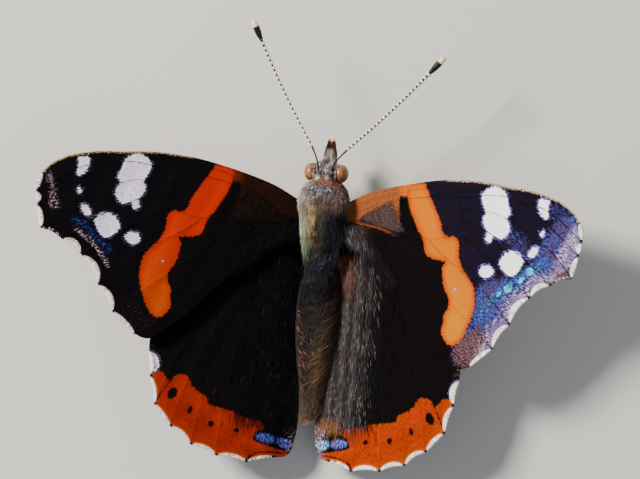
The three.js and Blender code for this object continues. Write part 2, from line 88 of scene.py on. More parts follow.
# %% Camera
PHOTO_WIDTH, PHOTO_HEIGHT = 640, 479
MM_PER_PIXEL = 0.1156
ZERO_PIXEL = (322.5, 198.3)
camera_lean = math.radians(12)
picture_turn = math.radians(4.3)
flat_right = Vector((math.cos(camera_lean), 0, -math.sin(camera_lean)))
ahead_axis = Vector((0, 1, 0))
picture_right = flat_right * math.cos(picture_turn) + ahead_axis * math.sin(picture_turn)
picture_up = ahead_axis * math.cos(picture_turn) - flat_right * math.sin(picture_turn)
back = picture_right.cross(picture_up)

camera_data = bpy.data.cameras.new("camera")
camera_data.sensor_width = 36
camera_data.lens = 300
camera_data.clip_start, camera_data.clip_end = 0.01, 5
camera = bpy.data.objects.new("camera", camera_data)
bpy.context.collection.objects.link(camera)
picture_width = PHOTO_WIDTH * MM_PER_PIXEL * MM
distance = picture_width * camera_data.lens / camera_data.sensor_width
aside = (PHOTO_WIDTH / 2 - ZERO_PIXEL[0]) * MM_PER_PIXEL * MM
above = (ZERO_PIXEL[1] - PHOTO_HEIGHT / 2) * MM_PER_PIXEL * MM
WING_MIDDLE_UP = 0.0032  # the picture's scale holds at this height over the wing roots
target = Vector(ZERO) + picture_right * aside + picture_up * above
camera.matrix_world = Matrix.Translation(target + back * (distance + WING_MIDDLE_UP)) @ Matrix(
    (picture_right, picture_up, back)
).transposed().to_4x4()
bpy.context.scene.camera = camera
print("camera distance", round(distance, 3))

# %% [markdown]
# Floor and light
#
# A pale floor and soft light show the colours without a story. The key light comes from the upper
# left, because it does in the photo: the right wing faces it and glows, and the left one is calmer.

# %% Floor, world and lamps
floor_mesh = bpy.data.meshes.new("floor")
floor_bm = bmesh.new()
bmesh.ops.create_grid(floor_bm, x_segments=1, y_segments=1, size=1.2)
floor_bm.to_mesh(floor_mesh)
floor_bm.free()
floor = bpy.data.objects.new("floor", floor_mesh)
bpy.context.collection.objects.link(floor)
floor_material = bpy.data.materials.new("pale floor")
floor_material.use_nodes = True
floor_shader = floor_material.node_tree.nodes["Principled BSDF"]
floor_shader.inputs["Base Color"].default_value = (0.52, 0.51, 0.49, 1)
floor_shader.inputs["Roughness"].default_value = 0.9
floor_mesh.materials.append(floor_material)

world = bpy.data.worlds.new("studio")
bpy.context.scene.world = world
world.use_nodes = True
world.node_tree.nodes["Background"].inputs["Color"].default_value = (0.86, 0.9, 1.0, 1)
world.node_tree.nodes["Background"].inputs["Strength"].default_value = 0.32


def lamp(name, way, away, size, power, colour):
    """A square soft light, away metres from the insect in the direction way, aimed at it."""
    data = bpy.data.lights.new(name, "AREA")
    data.size, data.energy, data.color = size, power, colour
    light = bpy.data.objects.new(name, data)
    bpy.context.collection.objects.link(light)
    way = Vector(way).normalized()
    light.location = Vector(ZERO) + way * away
    light.rotation_mode = "QUATERNION"
    light.rotation_quaternion = way.to_track_quat("Z", "Y")
    return light


lamp("key", (-0.72, 0.42, 0.85), 0.5, 0.12, 6.2, (1.0, 0.95, 0.86))
lamp("fill", (0.7, -0.3, 0.9), 0.6, 0.5, 1.1, (0.88, 0.93, 1.0))

# %% [markdown]
# Short words for shader nodes
#
# The materials are procedural: a few noises and some numbers stored on the mesh, mixed step by
# step. Writing each node with all its links is long, so one small class gives short words for the
# nodes that the lesson uses. A number that is the same all over stays on the shader's own socket.


# %% Shader helper
def srgb(red, green, blue):
    """A colour as a picture editor shows it, 0 to 255, made linear for the shader."""
    values = np.array([red, green, blue]) / 255
    linear = np.where(values <= 0.04045, values / 12.92, ((values + 0.055) / 1.055) ** 2.4)
    return (*[float(v) for v in linear], 1.0)


class Finish:
    """One material and its nodes."""

    def __init__(self, name, roughness, **shader_values):
        self.material = bpy.data.materials.new(name)
        self.material.use_nodes = True
        self.tree = self.material.node_tree
        self.shader = self.tree.nodes["Principled BSDF"]
        self.shader.inputs["Roughness"].default_value = roughness
        for socket, value in shader_values.items():
            self.shader.inputs[socket.replace("_", " ")].default_value = value

    def add(self, kind, inputs, output=0, **settings):
        node = self.tree.nodes.new("ShaderNode" + kind)
        for key, value in settings.items():
            setattr(node, key, value)
        for key, value in inputs.items():
            if isinstance(value, bpy.types.NodeSocket):
                self.tree.links.new(value, node.inputs[key])
            else:
                node.inputs[key].default_value = value
        return node.outputs[output]

    def attribute(self, name, output="Fac"):
        return self.add("Attribute", {}, output, attribute_name=name)

    def place(self):
        return self.add("TexCoord", {}, "Object")

    def uv(self, name):
        return self.add("UVMap", {}, uv_map=name)

    def stretch(self, vector, scale):
        return self.add("Mapping", {"Vector": vector, "Scale": scale})

    def noise(self, vector, scale, detail, rough=0.55):
        inputs = {"Vector": vector, "Scale": scale, "Detail": detail, "Roughness": rough}
        return self.add("TexNoise", inputs)

    def cells(self, vector, scale, output="Distance", **settings):
        return self.add("TexVoronoi", {"Vector": vector, "Scale": scale}, output, **settings)

    def math(self, operation, a, b=0.0):
        return self.add("Math", {0: a, 1: b}, operation=operation)

    def plus(self, a, b):
        return self.math("ADD", a, b)

    def times(self, a, b):
        return self.math("MULTIPLY", a, b)

    def fade(self, value, start, end):
        """0 below start, 1 above end, smooth between; start may be the larger one."""
        inputs = {"Value": value, "From Min": start, "From Max": end}
        return self.add("MapRange", inputs, interpolation_type="SMOOTHSTEP")

    def mix(self, share, first, second, blend="MIX"):
        inputs = {0: share, 6: first, 7: second}
        return self.add("Mix", inputs, 2, data_type="RGBA", blend_type=blend)

    def bump(self, height, distance, strength, normal=None):
        inputs = {"Height": height, "Distance": distance, "Strength": strength}
        if normal is not None:
            inputs["Normal"] = normal
        return self.add("Bump", inputs)

    def set(self, socket, value):
        self.tree.links.new(value, self.shader.inputs[socket])


# %% [markdown]
# Curves from a few points
#
# The outlines, veins and markings of the wings are smooth lines through a few measured points.
# A Catmull-Rom curve passes through all its points, so what is measured is what is drawn.


# %% Curve and distance helpers
def distances(line):
    """How far each point of a line lies along it."""
    return np.r_[0, np.cumsum(np.linalg.norm(np.diff(line, axis=0), axis=1))]


def places_on(line, keys, at):
    """Places on a line whose points carry rising keys, where the keys reach the numbers at."""
    return np.stack([np.interp(at, keys, axis) for axis in line.T], 1)


def unit(ways):
    """The same directions, each of length 1."""
    return ways / np.linalg.norm(ways, axis=1)[:, None]


def smooth_line(points, count, closed=False):
    """Evenly spaced places on a Catmull-Rom curve through the points."""
    points = np.asarray(points, float)
    before, after = (points[-1:], points[:2]) if closed else (points[:1], points[-1:])
    p = np.vstack([before, points, after])
    t = np.linspace(0, 1, 24, endpoint=False)[:, None]
    parts = []
    for a, b, c, d in zip(p, p[1:], p[2:], p[3:]):
        cubic = (3 * b - a - 3 * c + d) * t**3
        parts.append((2 * b + (c - a) * t + (2 * a - 5 * b + 4 * c - d) * t**2 + cubic) / 2)
    line = np.vstack([*parts, p[-2][None]])
    run = distances(line)
    return places_on(line, run, np.linspace(0, run[-1], count))


def line_distance(places, line):
    """Distance of each place to a line of points."""
    least = np.full(len(places), np.inf)
    for a, b in zip(line[:-1], line[1:]):
        way = b - a
        along = np.clip((places - a) @ way / max(way @ way, 1e-12), 0, 1)
        least = np.minimum(least, np.linalg.norm(places - a - along[:, None] * way, axis=1))
    return least


def inside_distance(places, ring):
    """Distance to a closed ring of points, positive inside it and negative outside."""
    ring = np.vstack([ring, ring[:1]])
    inside = np.zeros(len(places), bool)
    for (ax, ay), (bx, by) in zip(ring[:-1], ring[1:]):
        if ay != by:
            crosses = (ay > places[:, 1]) != (by > places[:, 1])
            inside ^= crosses & (places[:, 0] < (bx - ax) * (places[:, 1] - ay) / (by - ay) + ax)
    return line_distance(places, ring) * np.where(inside, 1, -1)


def blob(out, ahead, half_out, half_ahead, turn=0.0):
    """A ring of points round an oval mark, turned by some degrees."""
    angle = np.linspace(0, 2 * np.pi, 28, endpoint=False)
    x, y = half_out * np.cos(angle), half_ahead * np.sin(angle)
    cos, sin = math.cos(math.radians(turn)), math.sin(math.radians(turn))
    return np.stack([out + x * cos - y * sin, ahead + x * sin + y * cos], 1)


def step(value, start, end):
    """A smooth rise from 0 at start to 1 at end."""
    share = np.clip((value - start) / (end - start), 0, 1)
    return share * share * (3 - 2 * share)


# %% [markdown]
# The plan of the wings
#
# A wing is drawn flat first: how far out from its root, and how far ahead of it. The outer margin
# has a small tooth at the end of each vein and a shallow bay between two teeth, which gives the
# species its scalloped edge. These are the same sizes that the solids are made from. In each bay
# the membrane stops short of the outline, and the fringe of white scales fills the rest.

# %% Wing plans
FOREWING = {
    "raise": 16, "drop": 0, "back slope": 0,
    "camber": lambda out, ahead: -0.001 * (out - 14) ** 2 - 0.0022 * np.minimum(ahead, 0) ** 2,
    "lead": [(-0.9, -0.45), (0, 0), (2.3, 1.1), (5.2, 2.0), (8.6, 2.8), (12.1, 3.4), (16.2, 3.6),
             (20, 3.3), (23.3, 3.0), (26.2, 2.3), (28.2, 1.25)],
    "teeth": [(29.4, 0.1), (29.9, -2.15), (29.6, -3.8), (28.95, -6.5), (26.4, -7.5), (23.95, -9.15),
              (21.7, -12.4), (19.7, -15.4), (16.9, -17.8)],
    "bays": [0.3, 0.16, 0.16, -0.2, -0.2, -0.26, -0.2, 0.08],
    "fringe": [0.5, 0.6, 0.55, 0.26, 0.62, 0.72, 0.58, 0.42],
    "trail": [(-0.9, -3.7), (1.2, -4.9), (3.4, -6.9), (6, -9.3), (8.6, -12.2), (11.4, -15.2),
              (14.3, -17.65), (15.6, -18.1)],
    "veins": [
        [(0.3, -0.5), (5, 1.15), (9.5, 2.3), (13, 3.0)],
        [(0.3, -1.3), (5, 0.35), (10, 1.25), (13.8, 1.5), (17.5, 2.1), (21.2, 1.95), (24.8, -0.2),
         (29.6, -3.8)],
        [(9.6, 1.2), (13.5, 2.2), (18.2, 3.1)],
        [(21.2, 1.95), (25.5, 0.8), (29.9, -2.15)],
        [(0.3, -2.2), (3.2, -2.6), (7, -3.25), (10.4, -3.5), (12.8, -3.1), (14, -2.3)],
        [(14, -2.3), (14.6, -0.9), (14.2, 0.4), (13.8, 1.5)],
        [(14.2, 0.4), (18.6, 0.1), (21.5, -0.9), (24.6, -2.5), (27.4, -4.75), (28.95, -6.5)],
        [(14.6, -0.9), (18.5, -2.3), (22.7, -4.7), (26.4, -7.5)],
        [(14, -2.3), (17, -4.1), (19.5, -5.8), (23.95, -9.15)],
        [(10.4, -3.5), (12.2, -5.0), (16.9, -8.0), (19.3, -10.0), (21.7, -12.4)],
        [(6.2, -3.15), (9.6, -6.9), (14.1, -10.7), (19.7, -15.4)],
        [(0.3, -3.3), (3.4, -5.4), (8.2, -10.1), (12.6, -14.4), (16.9, -17.8)],
    ],
}
HINDWING = {
    "raise": 13, "drop": 1.1, "back slope": 1.2,
    "camber": lambda out, ahead: -0.0012 * (out - 6) ** 2 - 0.75 * step(1.2 - out, 0, 3.4),
    "lead": [(-1.6, -3.5), (2.5, -4.6), (6, -6.7), (9.6, -9.8), (12.8, -13.2), (14.9, -16.5), (15.4, -18.2)],
    "teeth": [(15.5, -19.4), (15.05, -22.4), (14.25, -25.7), (12.15, -28.1), (9.6, -30.0), (6.45, -31.0),
              (2.85, -31.4), (-0.3, -30.6)],
    "bays": [-0.06, -0.1, 0.03, -0.24, -0.18, -0.18, -0.1],
    "fringe": [0.72, 0.5, 0.45, 0.42, 0.46, 0.46, 0.36],
    "trail": [(-2.1, -7.6), (-1.75, -9), (-1.3, -11.5), (-1.35, -15), (-1.75, -18.5), (-2.3, -21.5),
              (-2.6, -24.2), (-2.65, -26.8), (-2.2, -29.4), (-1.5, -30.3)],
    "veins": [
        [(0.2, -4.7), (5.5, -8.3), (10.4, -13.3), (13.7, -17.5), (15.5, -19.4)],
        [(2.2, -6.2), (7, -11.5), (11.6, -16.7), (15.05, -22.4)],
        [(7, -11.5), (10.2, -16.2), (12.6, -21.2), (14.25, -25.7)],
        [(6.8, -13.8), (9, -18.6), (10.9, -23.6), (12.15, -28.1)],
        [(7, -11.5), (6.8, -13.8), (5.6, -15.6)],
        [(0.2, -6.2), (2.4, -9.5), (4.3, -12.7), (5.6, -15.6), (7.4, -20.5), (8.8, -25.4), (9.6, -30.0)],
        [(4.3, -12.7), (5.3, -18.5), (6.2, -25), (6.45, -31.0)],
        [(2.4, -9.5), (3, -16), (3.2, -24), (2.85, -31.4)],
        [(-0.1, -7.2), (0.4, -14), (0.3, -22.5), (-0.3, -30.6)],
    ],
}
WING_ROOT_SIDE = 3.42
SWEEP = 1.25
BAY_POINTS = 30
TOOTH_HALF_WIDTH = 0.34
TOOTH_FRINGE = 0.12  # how far the scales reach past the membrane at a tooth
LEFT_HIND_FRINGE = 0.7  # the left hindwing's fringe is this share of the right one's


def margin_line(wing, side=None):
    """The toothed outer margin, and how near each of its places is to a tooth.

    With a side it is the edge of the membrane instead, which the fringe leaves in each bay.
    """
    places, nearness = [], []
    teeth = np.array(wing["teeth"], float)
    share = np.linspace(0, 1, BAY_POINTS, endpoint=False)
    for start, end, bay, fringe in zip(teeth[:-1], teeth[1:], wing["bays"], wing["fringe"]):
        way = end - start
        length = np.linalg.norm(way)
        outward = np.array([-way[1], way[0]]) / length
        gap = np.minimum(share, 1 - share) * length
        shoulder = TOOTH_HALF_WIDTH / length
        inner = np.clip((share - shoulder) / (1 - 2 * shoulder), 0, 1)
        depth = bay * (0.3 + 0.7 * np.sin(np.pi * inner)) * step(gap, 0, TOOTH_HALF_WIDTH)
        if side is not None:
            part = LEFT_HIND_FRINGE if side == LEFT and wing is HINDWING else 1.0
            hollow = np.sin(np.pi * inner) ** 0.6
            depth = depth - TOOTH_FRINGE - (part * fringe - TOOTH_FRINGE) * hollow
        places.append(start + share[:, None] * way + depth[:, None] * outward)
        nearness.append(gap)
    last = teeth[-1:] - (TOOTH_FRINGE if side is not None else 0) * outward
    return np.vstack([*places, last]), np.r_[np.concatenate(nearness), 0]


def on_insect(wing, side, out, ahead, height):
    """Where a flat wing place lies on the insect, at a height over the wing's own surface."""
    sweep = math.radians(-side * SWEEP)
    lift = math.radians(wing["raise"])
    over = wing["camber"](out, ahead) + height
    turned_out = out * math.cos(sweep) - ahead * math.sin(sweep)
    turned_ahead = out * math.sin(sweep) + ahead * math.cos(sweep)
    x = side * (WING_ROOT_SIDE + turned_out * math.cos(lift) - over * math.sin(lift))
    z = turned_out * math.sin(lift) + over * math.cos(lift) - wing["drop"]
    z = z + turned_ahead * math.tan(math.radians(wing["back slope"]))
    return np.stack([x, turned_ahead, z], -1)


# %% [markdown]
# The markings
#
# Each marking is a ring of points on the flat wing. The mesh doesn't store the ring: each of its
# points stores how deep it lies inside the marking, in millimetres. The shader turns that depth
# into a sharp edge and frays it with a fine noise, because a real marking ends scale by scale.
# This keeps edges crisp at any size without a single picture file. The two sides carry the same
# marks, but the right one faces the sun in the photo: its indigo sheen, and the shine that makes its
# blue and lilac scales brighter than on the dark left wing, are painted sheen, kept apart for each side.

# %% Forewing markings
BAND = smooth_line(
    [(9.2, 2.8), (9.7, 2.2), (10.35, 1.15), (11.1, -0.1), (11.8, -1.35), (12.3, -2.7), (12.9, -3.05),
     (13.8, -3.0), (14.35, -3.6), (14.45, -4.45), (14.6, -5.4), (15.1, -6.5), (16.3, -7.9), (16.9, -9.1),
     (17.0, -10.8), (16.7, -12.2), (16.25, -13.4), (15.5, -14.8), (14.6, -15.5), (13.9, -15.3),
     (13.4, -14.8), (13.0, -13.95), (13.25, -12.9), (13.2, -12.05), (13.65, -11.25), (13.65, -10.15),
     (12.95, -8.85), (12.6, -7.4), (12.6, -6.5), (12.95, -6.0), (12.3, -5.85), (10.95, -5.7), (10.2, -5.1),
     (10.0, -4.5), (9.7, -3.5), (9.0, -2.55), (8.4, -1.5), (7.85, -0.5), (7.45, 0.6), (7.2, 1.6),
     (7.4, 2.4)], 200, closed=True)
WHITE_MARKS = [smooth_line(ring, 60, closed=True) for ring in (
    [(17.5, 2.9), (18.25, 3.3), (19.25, 3.03), (20.05, 2.35), (20.2, 1.5), (20.6, 0.75), (20.7, 0.1),
     (20.35, -0.23), (20.7, -1.02), (20.75, -1.85), (20.15, -2.65), (19.5, -2.85), (18.8, -2.6),
     (18.5, -3.2), (18.0, -3.3), (17.6, -2.95), (17.85, -2.1), (17.25, -1.25), (17.2, -0.5), (17.5, 0.1),
     (17.0, 0.95), (16.75, 1.85), (16.95, 2.6)],
    [(24.0, 2.2), (24.8, 2.3), (25.45, 2.1), (25.4, 1.15), (25.5, 0.45), (25.3, -0.05), (24.9, 0.0),
     (24.2, 0.6), (23.9, 1.4)],
    [(24.5, -1.65), (24.95, -1.15), (25.2, -1.5), (25.05, -2.0), (24.65, -2.05)],
    [(23.8, -3.25), (24.35, -3.1), (24.56, -3.55), (24.4, -4.1), (23.75, -4.65), (23.3, -4.6),
     (23.25, -4.0)],
    [(20.4, -4.2), (21.2, -3.85), (22.3, -4.15), (22.85, -4.9), (22.6, -5.7), (22.0, -6.65), (21.1, -6.95),
     (20.2, -6.3), (19.7, -5.6), (20.0, -4.8)],
    [(17.35, -6.3), (17.8, -5.85), (18.6, -5.9), (19.25, -6.5), (18.95, -7.05), (18.35, -7.4),
     (17.65, -7.3), (17.25, -6.85)],
)]
BAND_MIDDLE = np.array([(8.3, 4.5), (8.6, 2), (10.2, -2), (12, -5), (14.6, -8), (15.4, -11), (14.8, -14),
                        (14.2, -19)])
TEAL_SPOTS = [blob(23.7, -6.1, 0.44, 0.5, turn=-30), blob(22.65, -7.2, 0.3, 0.44, turn=-35),
              blob(21.1, -8.3, 0.42, 0.5, turn=-40), blob(20.0, -9.0, 0.22, 0.4, turn=-40)]
TEAL_LINE = np.array([(25.4, -4.9), (23.7, -6.1), (22.6, -7.2), (21.1, -8.3), (19.4, -9.7), (18.2, -11.2)])
SHEEN_AREA = smooth_line([(15.7, -15.2), (17.1, -12.6), (17.35, -9.6), (18.2, -8.2), (20.3, -7.6), (22.6, -6.4),
                    (24.2, -5.1), (25.4, -2.6), (26.4, -0.9), (27.6, 0.3), (29.2, 0.0), (29.6, -3.6),
                    (28.6, -5.9), (26.2, -7.0), (23.8, -8.7), (21.4, -11.9), (19.4, -15.0), (17.6, -16.4)],
                   120, closed=True)
APEX_DUST = {
    LEFT: smooth_line([(28.6, 0.2), (27.9, -0.6), (27.5, -2.0), (27.0, -3.9), (27.9, -4.1), (28.4, -3.2),
                       (28.3, -1.9), (28.9, -0.8)], 60, closed=True),
    RIGHT: smooth_line([(28.7, -0.4), (27.9, -1.5), (27.2, -3.2), (26.6, -5.0), (27.0, -6.0), (28.3, -5.5),
                        (29.2, -3.8), (29.3, -1.2)], 60, closed=True),
}
LILAC_LINE = np.array([(24.9, -6.2), (23.2, -7.2), (21.9, -8.5), (20.7, -10.1)])
LEFT_BLUE_LINE = np.array([(25.0, -5.2), (23.85, -5.6), (22.5, -6.9), (20.9, -8.2)])
TORNUS_DUST = blob(17.0, -15.6, 2.3, 1.5, turn=40)
CELL_EIGHT = [smooth_line(ring, 40, closed=True) for ring in (
    [(6.6, 0.95), (7.05, 0.75), (7.3, 0.2), (7.15, -0.45), (6.8, -0.85), (6.4, -0.35), (6.3, 0.35)],
    [(6.9, -0.75), (7.5, -0.95), (7.65, -1.6), (7.35, -2.4), (6.85, -2.3), (6.5, -1.7)],
    [(8.0, -1.25), (8.55, -1.95), (8.8, -3.2), (8.3, -4.0), (7.7, -2.9), (7.75, -2.0)])]
CELL = smooth_line([(1.6, -1.85), (3.3, -0.7), (5.2, 0.15), (6.1, -0.6), (6.5, -1.8), (6.7, -3.1),
                    (3.8, -2.6)], 40, closed=True)
RUST_RINGS = [smooth_line([(-1.2, 0.2), (1.6, 1.4), (5.2, 2.6), (8.4, 3.4), (8.2, 1.6), (7.2, 1.1),
                           (6.3, 1.1), (6.1, 0.5), (5.2, 0.25), (3.4, -0.6), (1.7, -1.6), (0.9, -2.3),
                           (-0.9, -2.3)], 90, closed=True), blob(5.85, 0.25, 0.5, 0.95, turn=12)]
RUST_LOOP = np.array([(6.1, 0.6), (6.15, -0.4), (6.2, -1.2), (6.45, -2.0)])
APEX_NAVY = blob(26.7, 0.7, 1.5, 0.9, turn=-15)
APEX_CORNER = blob(27.7, -6.1, 1.5, 0.75, turn=25)
RUST_LINE = np.array([(0.3, -2.3), (1.8, -2.55), (4.0, -2.85), (6.2, -3.5)])
BELOW_BAR = blob(21.6, -3.0, 2.3, 1.1, turn=-30)
PALE_DOT, PALE_DOT_RADIUS = (14.45, -9.0), 0.14


def ring_depth(places, *rings):
    """How deep each place lies in the nearest of some rings."""
    return np.max([inside_distance(places, ring) for ring in rings], axis=0)


def in_ring(places, start, end, *rings):
    """0 up to the depth start in the nearest ring, and 1 from the depth end on."""
    return step(ring_depth(places, *rings), start, end)


def near_line(places, far, near, line):
    """0 beyond the distance far from a line, and 1 within the distance near."""
    return step(-line_distance(places, line), -far, -near)


def vein_gap(wing, places):
    return np.min([line_distance(places, smooth_line(vein, 40)) for vein in wing["veins"]], axis=0)


def forewing_marks(places, side, edge_gap, lead_gap):
    """Every number that the forewing's finish reads, for each flat place."""
    out, ahead = places.T
    middle = np.interp(-ahead, -BAND_MIDDLE[:, 1], BAND_MIDDLE[:, 0])
    dot = PALE_DOT_RADIUS - np.hypot(*(places - PALE_DOT).T)
    # the rust lines are painted stronger on the right wing, as sheen
    faint = 0.5 if side == RIGHT else 0.36
    rust_line = near_line(places, 0.28, 0.08, RUST_LINE) * step(-out, -6.6, -5.2)
    rust = (0.82 * in_ring(places, -0.35, 0.3, *RUST_RINGS), faint * rust_line,
            faint * near_line(places, 0.42, 0.05, RUST_LOOP))
    root = 0.7 * step(-np.hypot(out, ahead + 3.6), -4.0, -0.8) * step(-ahead, 2.2, 3.4)
    marks = {
        "band": ring_depth(places, BAND),
        "white": np.maximum(ring_depth(places, *WHITE_MARKS), dot),
        "vein": vein_gap(FOREWING, places),
        "dark": ring_depth(places, *CELL_EIGHT),
        "field": step(out - middle, -0.5, 0.8),
        "rust": np.max(rust, axis=0),
        "grey": np.maximum(0.85 * in_ring(places, -0.7, 0.5, CELL), root),
        "low end": step(-ahead, 4.5, 15),
        "gold edge": 0.85 * step(-lead_gap, -0.34, -0.1) * step(out, 10.5, 13.5),
    }
    apex = in_ring(places, -0.4, 0.3, APEX_DUST[side])
    tornus = in_ring(places, -1.1, 0.5, TORNUS_DUST)
    # painted sheen on the right wing: its indigo sheen, and blue, lilac and brown scales laid on stronger
    # than on the left
    if side == RIGHT:
        sheen_areas = ((0.9, -1.2, 0.5, SHEEN_AREA), (0.45, -0.8, 0.6, BELOW_BAR), (0.4, -0.7, 0.4, APEX_NAVY))
        marks["sheen"] = np.max([share * in_ring(places, *depths) for share, *depths in sheen_areas], axis=0)
        teal = in_ring(places, -0.3, 0.15, *TEAL_SPOTS)
        marks["blue"] = np.maximum(teal, 0.42 * near_line(places, 1.6, 0.0, TEAL_LINE))
        near_margin = step(-edge_gap, -2.2, -0.1) * step(out, 16.8, 18.5) * step(-out, -28, -26.5)
        marks["pale"] = np.maximum(0.62 * apex, 0.66 * near_margin)
        marks["brown"] = np.maximum(tornus, 0.75 * in_ring(places, -0.8, 0.3, APEX_CORNER))
    else:
        marks["sheen"] = np.zeros(len(places))
        marks["blue"] = 0.46 * near_line(places, 1.0, 0.0, LEFT_BLUE_LINE)
        marks["pale"] = np.maximum(0.6 * apex, 0.62 * near_line(places, 0.5, 0.12, LILAC_LINE))
        marks["brown"] = 0.3 * tornus
    return marks


# %% Hindwing markings
HIND_BAND = smooth_line(
    [(15.6, -21.3), (14.6, -21.7), (13.7, -21.8), (12.65, -22.85), (12.1, -22.1), (10.75, -22.0),
     (9.9, -23.2), (8.2, -24.3), (7.95, -25.0), (6.5, -25.35), (4.8, -25.7), (3.3, -26.2), (1.7, -26.5),
     (1.2, -27.2), (1.8, -28.7), (0.8, -29.2), (-1.0, -29.6), (-2.6, -30.2), (-2.4, -31.4), (0, -32),
     (5, -32.5), (11, -31), (15.5, -26), (16.8, -21.5)], 160, closed=True)
HIND_SPOTS = [
    blob(12.2, -24.2, 0.5, 0.75, turn=32),
    blob(10.0, -25.95, 0.27, 0.48, turn=15),
    blob(7.4, -27.3, 0.3, 0.38, turn=10),
    blob(4.4, -27.8, 0.34, 0.27),
]
HIND_HOOK = smooth_line([(12.65, -22.8), (13.35, -24.0), (13.9, -25.0), (14.15, -25.6)], 20)
HIND_CORNER = smooth_line([(2.4, -28.5), (1.9, -27.6), (0.3, -27.2), (-1.2, -27.2), (-2.2, -27.9),
                           (-2.4, -29.3), (-1.2, -29.6), (0.5, -29.15), (1.9, -28.9)], 50, closed=True)
HIND_BLUE = [blob(0.95, -28.35, 1.15, 0.5, turn=10), blob(-1.3, -28.8, 0.98, 0.52, turn=24)]
LUNULE = smooth_line([(2.85, -31.1), (2.2, -30.35), (0.8, -30.0), (-0.95, -29.95), (-2.0, -29.9)], 24)
HIND_TAN = blob(0.6, -26.9, 1.1, 0.6)
PATCH_HALF_WIDTH = {LEFT: 1.5, RIGHT: 1.1}  # of the white patch at the upper corner
ARC_GAP = 0.5  # the brown arcs in the band lie this far inside the margin
TOOTH_SPOT = 0.34
HOOK_HALF_WIDTH = 0.09


def hindwing_marks(places, side, edge_gap, lead_gap):
    """Every number that the hindwing's finish reads, for each flat place."""
    out, ahead = places.T
    zero = np.zeros(len(places))
    white_patch = blob(*np.mean(HINDWING["teeth"][:2], axis=0), PATCH_HALF_WIDTH[side], 1.45, turn=8)
    tooth_gap = np.min([np.linalg.norm(places - tooth, axis=1) for tooth in HINDWING["teeth"]], axis=0)
    dark = (
        ring_depth(places, *HIND_SPOTS, HIND_CORNER),
        TOOTH_SPOT - tooth_gap,
        0.08 + 0.06 * step(out, 1.5, 2.8) - line_distance(places, LUNULE),
        HOOK_HALF_WIDTH - line_distance(places, HIND_HOOK),
    )
    first, second = [0.8 * in_ring(places, -0.35, 0.3, ring) for ring in HIND_BLUE]
    return {
        "band": ring_depth(places, HIND_BAND),
        "white": ring_depth(places, white_patch) - 0.15,
        "vein": vein_gap(HINDWING, places),
        "dark": np.max(dark, axis=0),
        # painted sheen on the right hindwing: blue, tan and grey over real scales that stay dark on the left
        "blue": second if side == RIGHT else zero,
        "violet": first if side == RIGHT else np.maximum(first, second),
        "low end": 0.5 * step(-edge_gap, -0.9, -0.2),
        "arc": 0.5 * step(-np.abs(edge_gap - ARC_GAP), -0.2, -0.04),
        "pale": 0.5 * step(-out, 0.4, 1.8) * step(-ahead, 24, 27),
        "rust": 0.5 * in_ring(places, -0.4, 0.3, HIND_TAN) if side == RIGHT else zero,
        "grey": 0.3 * step(-out, -5.0, -1.0) * step(-ahead, 4, 9) if side == RIGHT else zero,
        "brown": 0.35 * step(-lead_gap, -1.2, -0.2) * step(-ahead, 14, 17),
        "field": zero,
        "sheen": zero,
    }


# %% [markdown]
# A wing from a grid
#
# A bmesh grid is the easiest start for a curved sheet. Extruding it once gives the underside and
# the rim, so the sheet is closed. Then every point is moved: its place in the square says how far
# it lies between the leading and the trailing edge, and between the root and the margin. Mixing
# the four edge lines that way is called a Coons patch, and it follows each tooth of the margin.

# %% Wing sheets
SHEET_HALF = 0.05  # half the thickness of a real wing, scales included
VEIN_RISE, VEIN_WIDTH = 0.06, 0.2
RIM_SHARE, RIM_WIDTH = 0.35, 1.2  # a sheet thins to this share of its thickness over this width
RIPPLE = 0.05
WING_GRID = (110, 150)  # cells across, from leading to trailing edge, and along, from root to margin


def wing_edges(wing, side, count):
    """The margin, and the leading and trailing edges up to it."""
    margin = margin_line(wing, side)[0]
    lead = smooth_line([*wing["lead"], margin[0]], count)
    return margin, lead, smooth_line([*wing["trail"], margin[-1]], count)


def patch(wing, side, across, along):
    """Flat places on the wing for shares across and along it, both from 0 to 1."""
    shares = np.linspace(0, 1, 500)
    margin, lead, trail = wing_edges(wing, side, len(shares))
    run = distances(margin)
    a, b = across[:, None], along[:, None]
    sides = (1 - a) * places_on(lead, shares, along) + a * places_on(trail, shares, along)
    root = (1 - a) * lead[0] + a * trail[0]
    ends = (1 - b) * root + b * places_on(margin, run / run[-1], across)
    corners = (1 - b) * root + b * ((1 - a) * lead[-1] + a * trail[-1])
    return sides + ends - corners


def new_object(name, mesh):
    made = bpy.data.objects.new(name, mesh)
    bpy.context.collection.objects.link(made)
    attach(made, "root")
    return made


def smooth_mesh(name, bm):
    """A mesh with smooth faces from a bmesh, which is done with."""
    for face in bm.faces:
        face.smooth = True
    mesh = bpy.data.meshes.new(name)
    bm.to_mesh(mesh)
    bm.free()
    return mesh


def mesh_points(mesh):
    found = np.empty(len(mesh.vertices) * 3)
    mesh.vertices.foreach_get("co", found)
    return found.reshape(-1, 3)


def write_map(mesh, name, *places):
    """Adds a UV map from two lists, with one number each per face corner."""
    layer = mesh.uv_layers.new(name=name)
    layer.uv.foreach_set("vector", np.stack(places, 1).astype(np.float32).ravel())


def corner_points(mesh):
    found = np.empty(len(mesh.loops), int)
    mesh.loops.foreach_get("vertex_index", found)
    return found


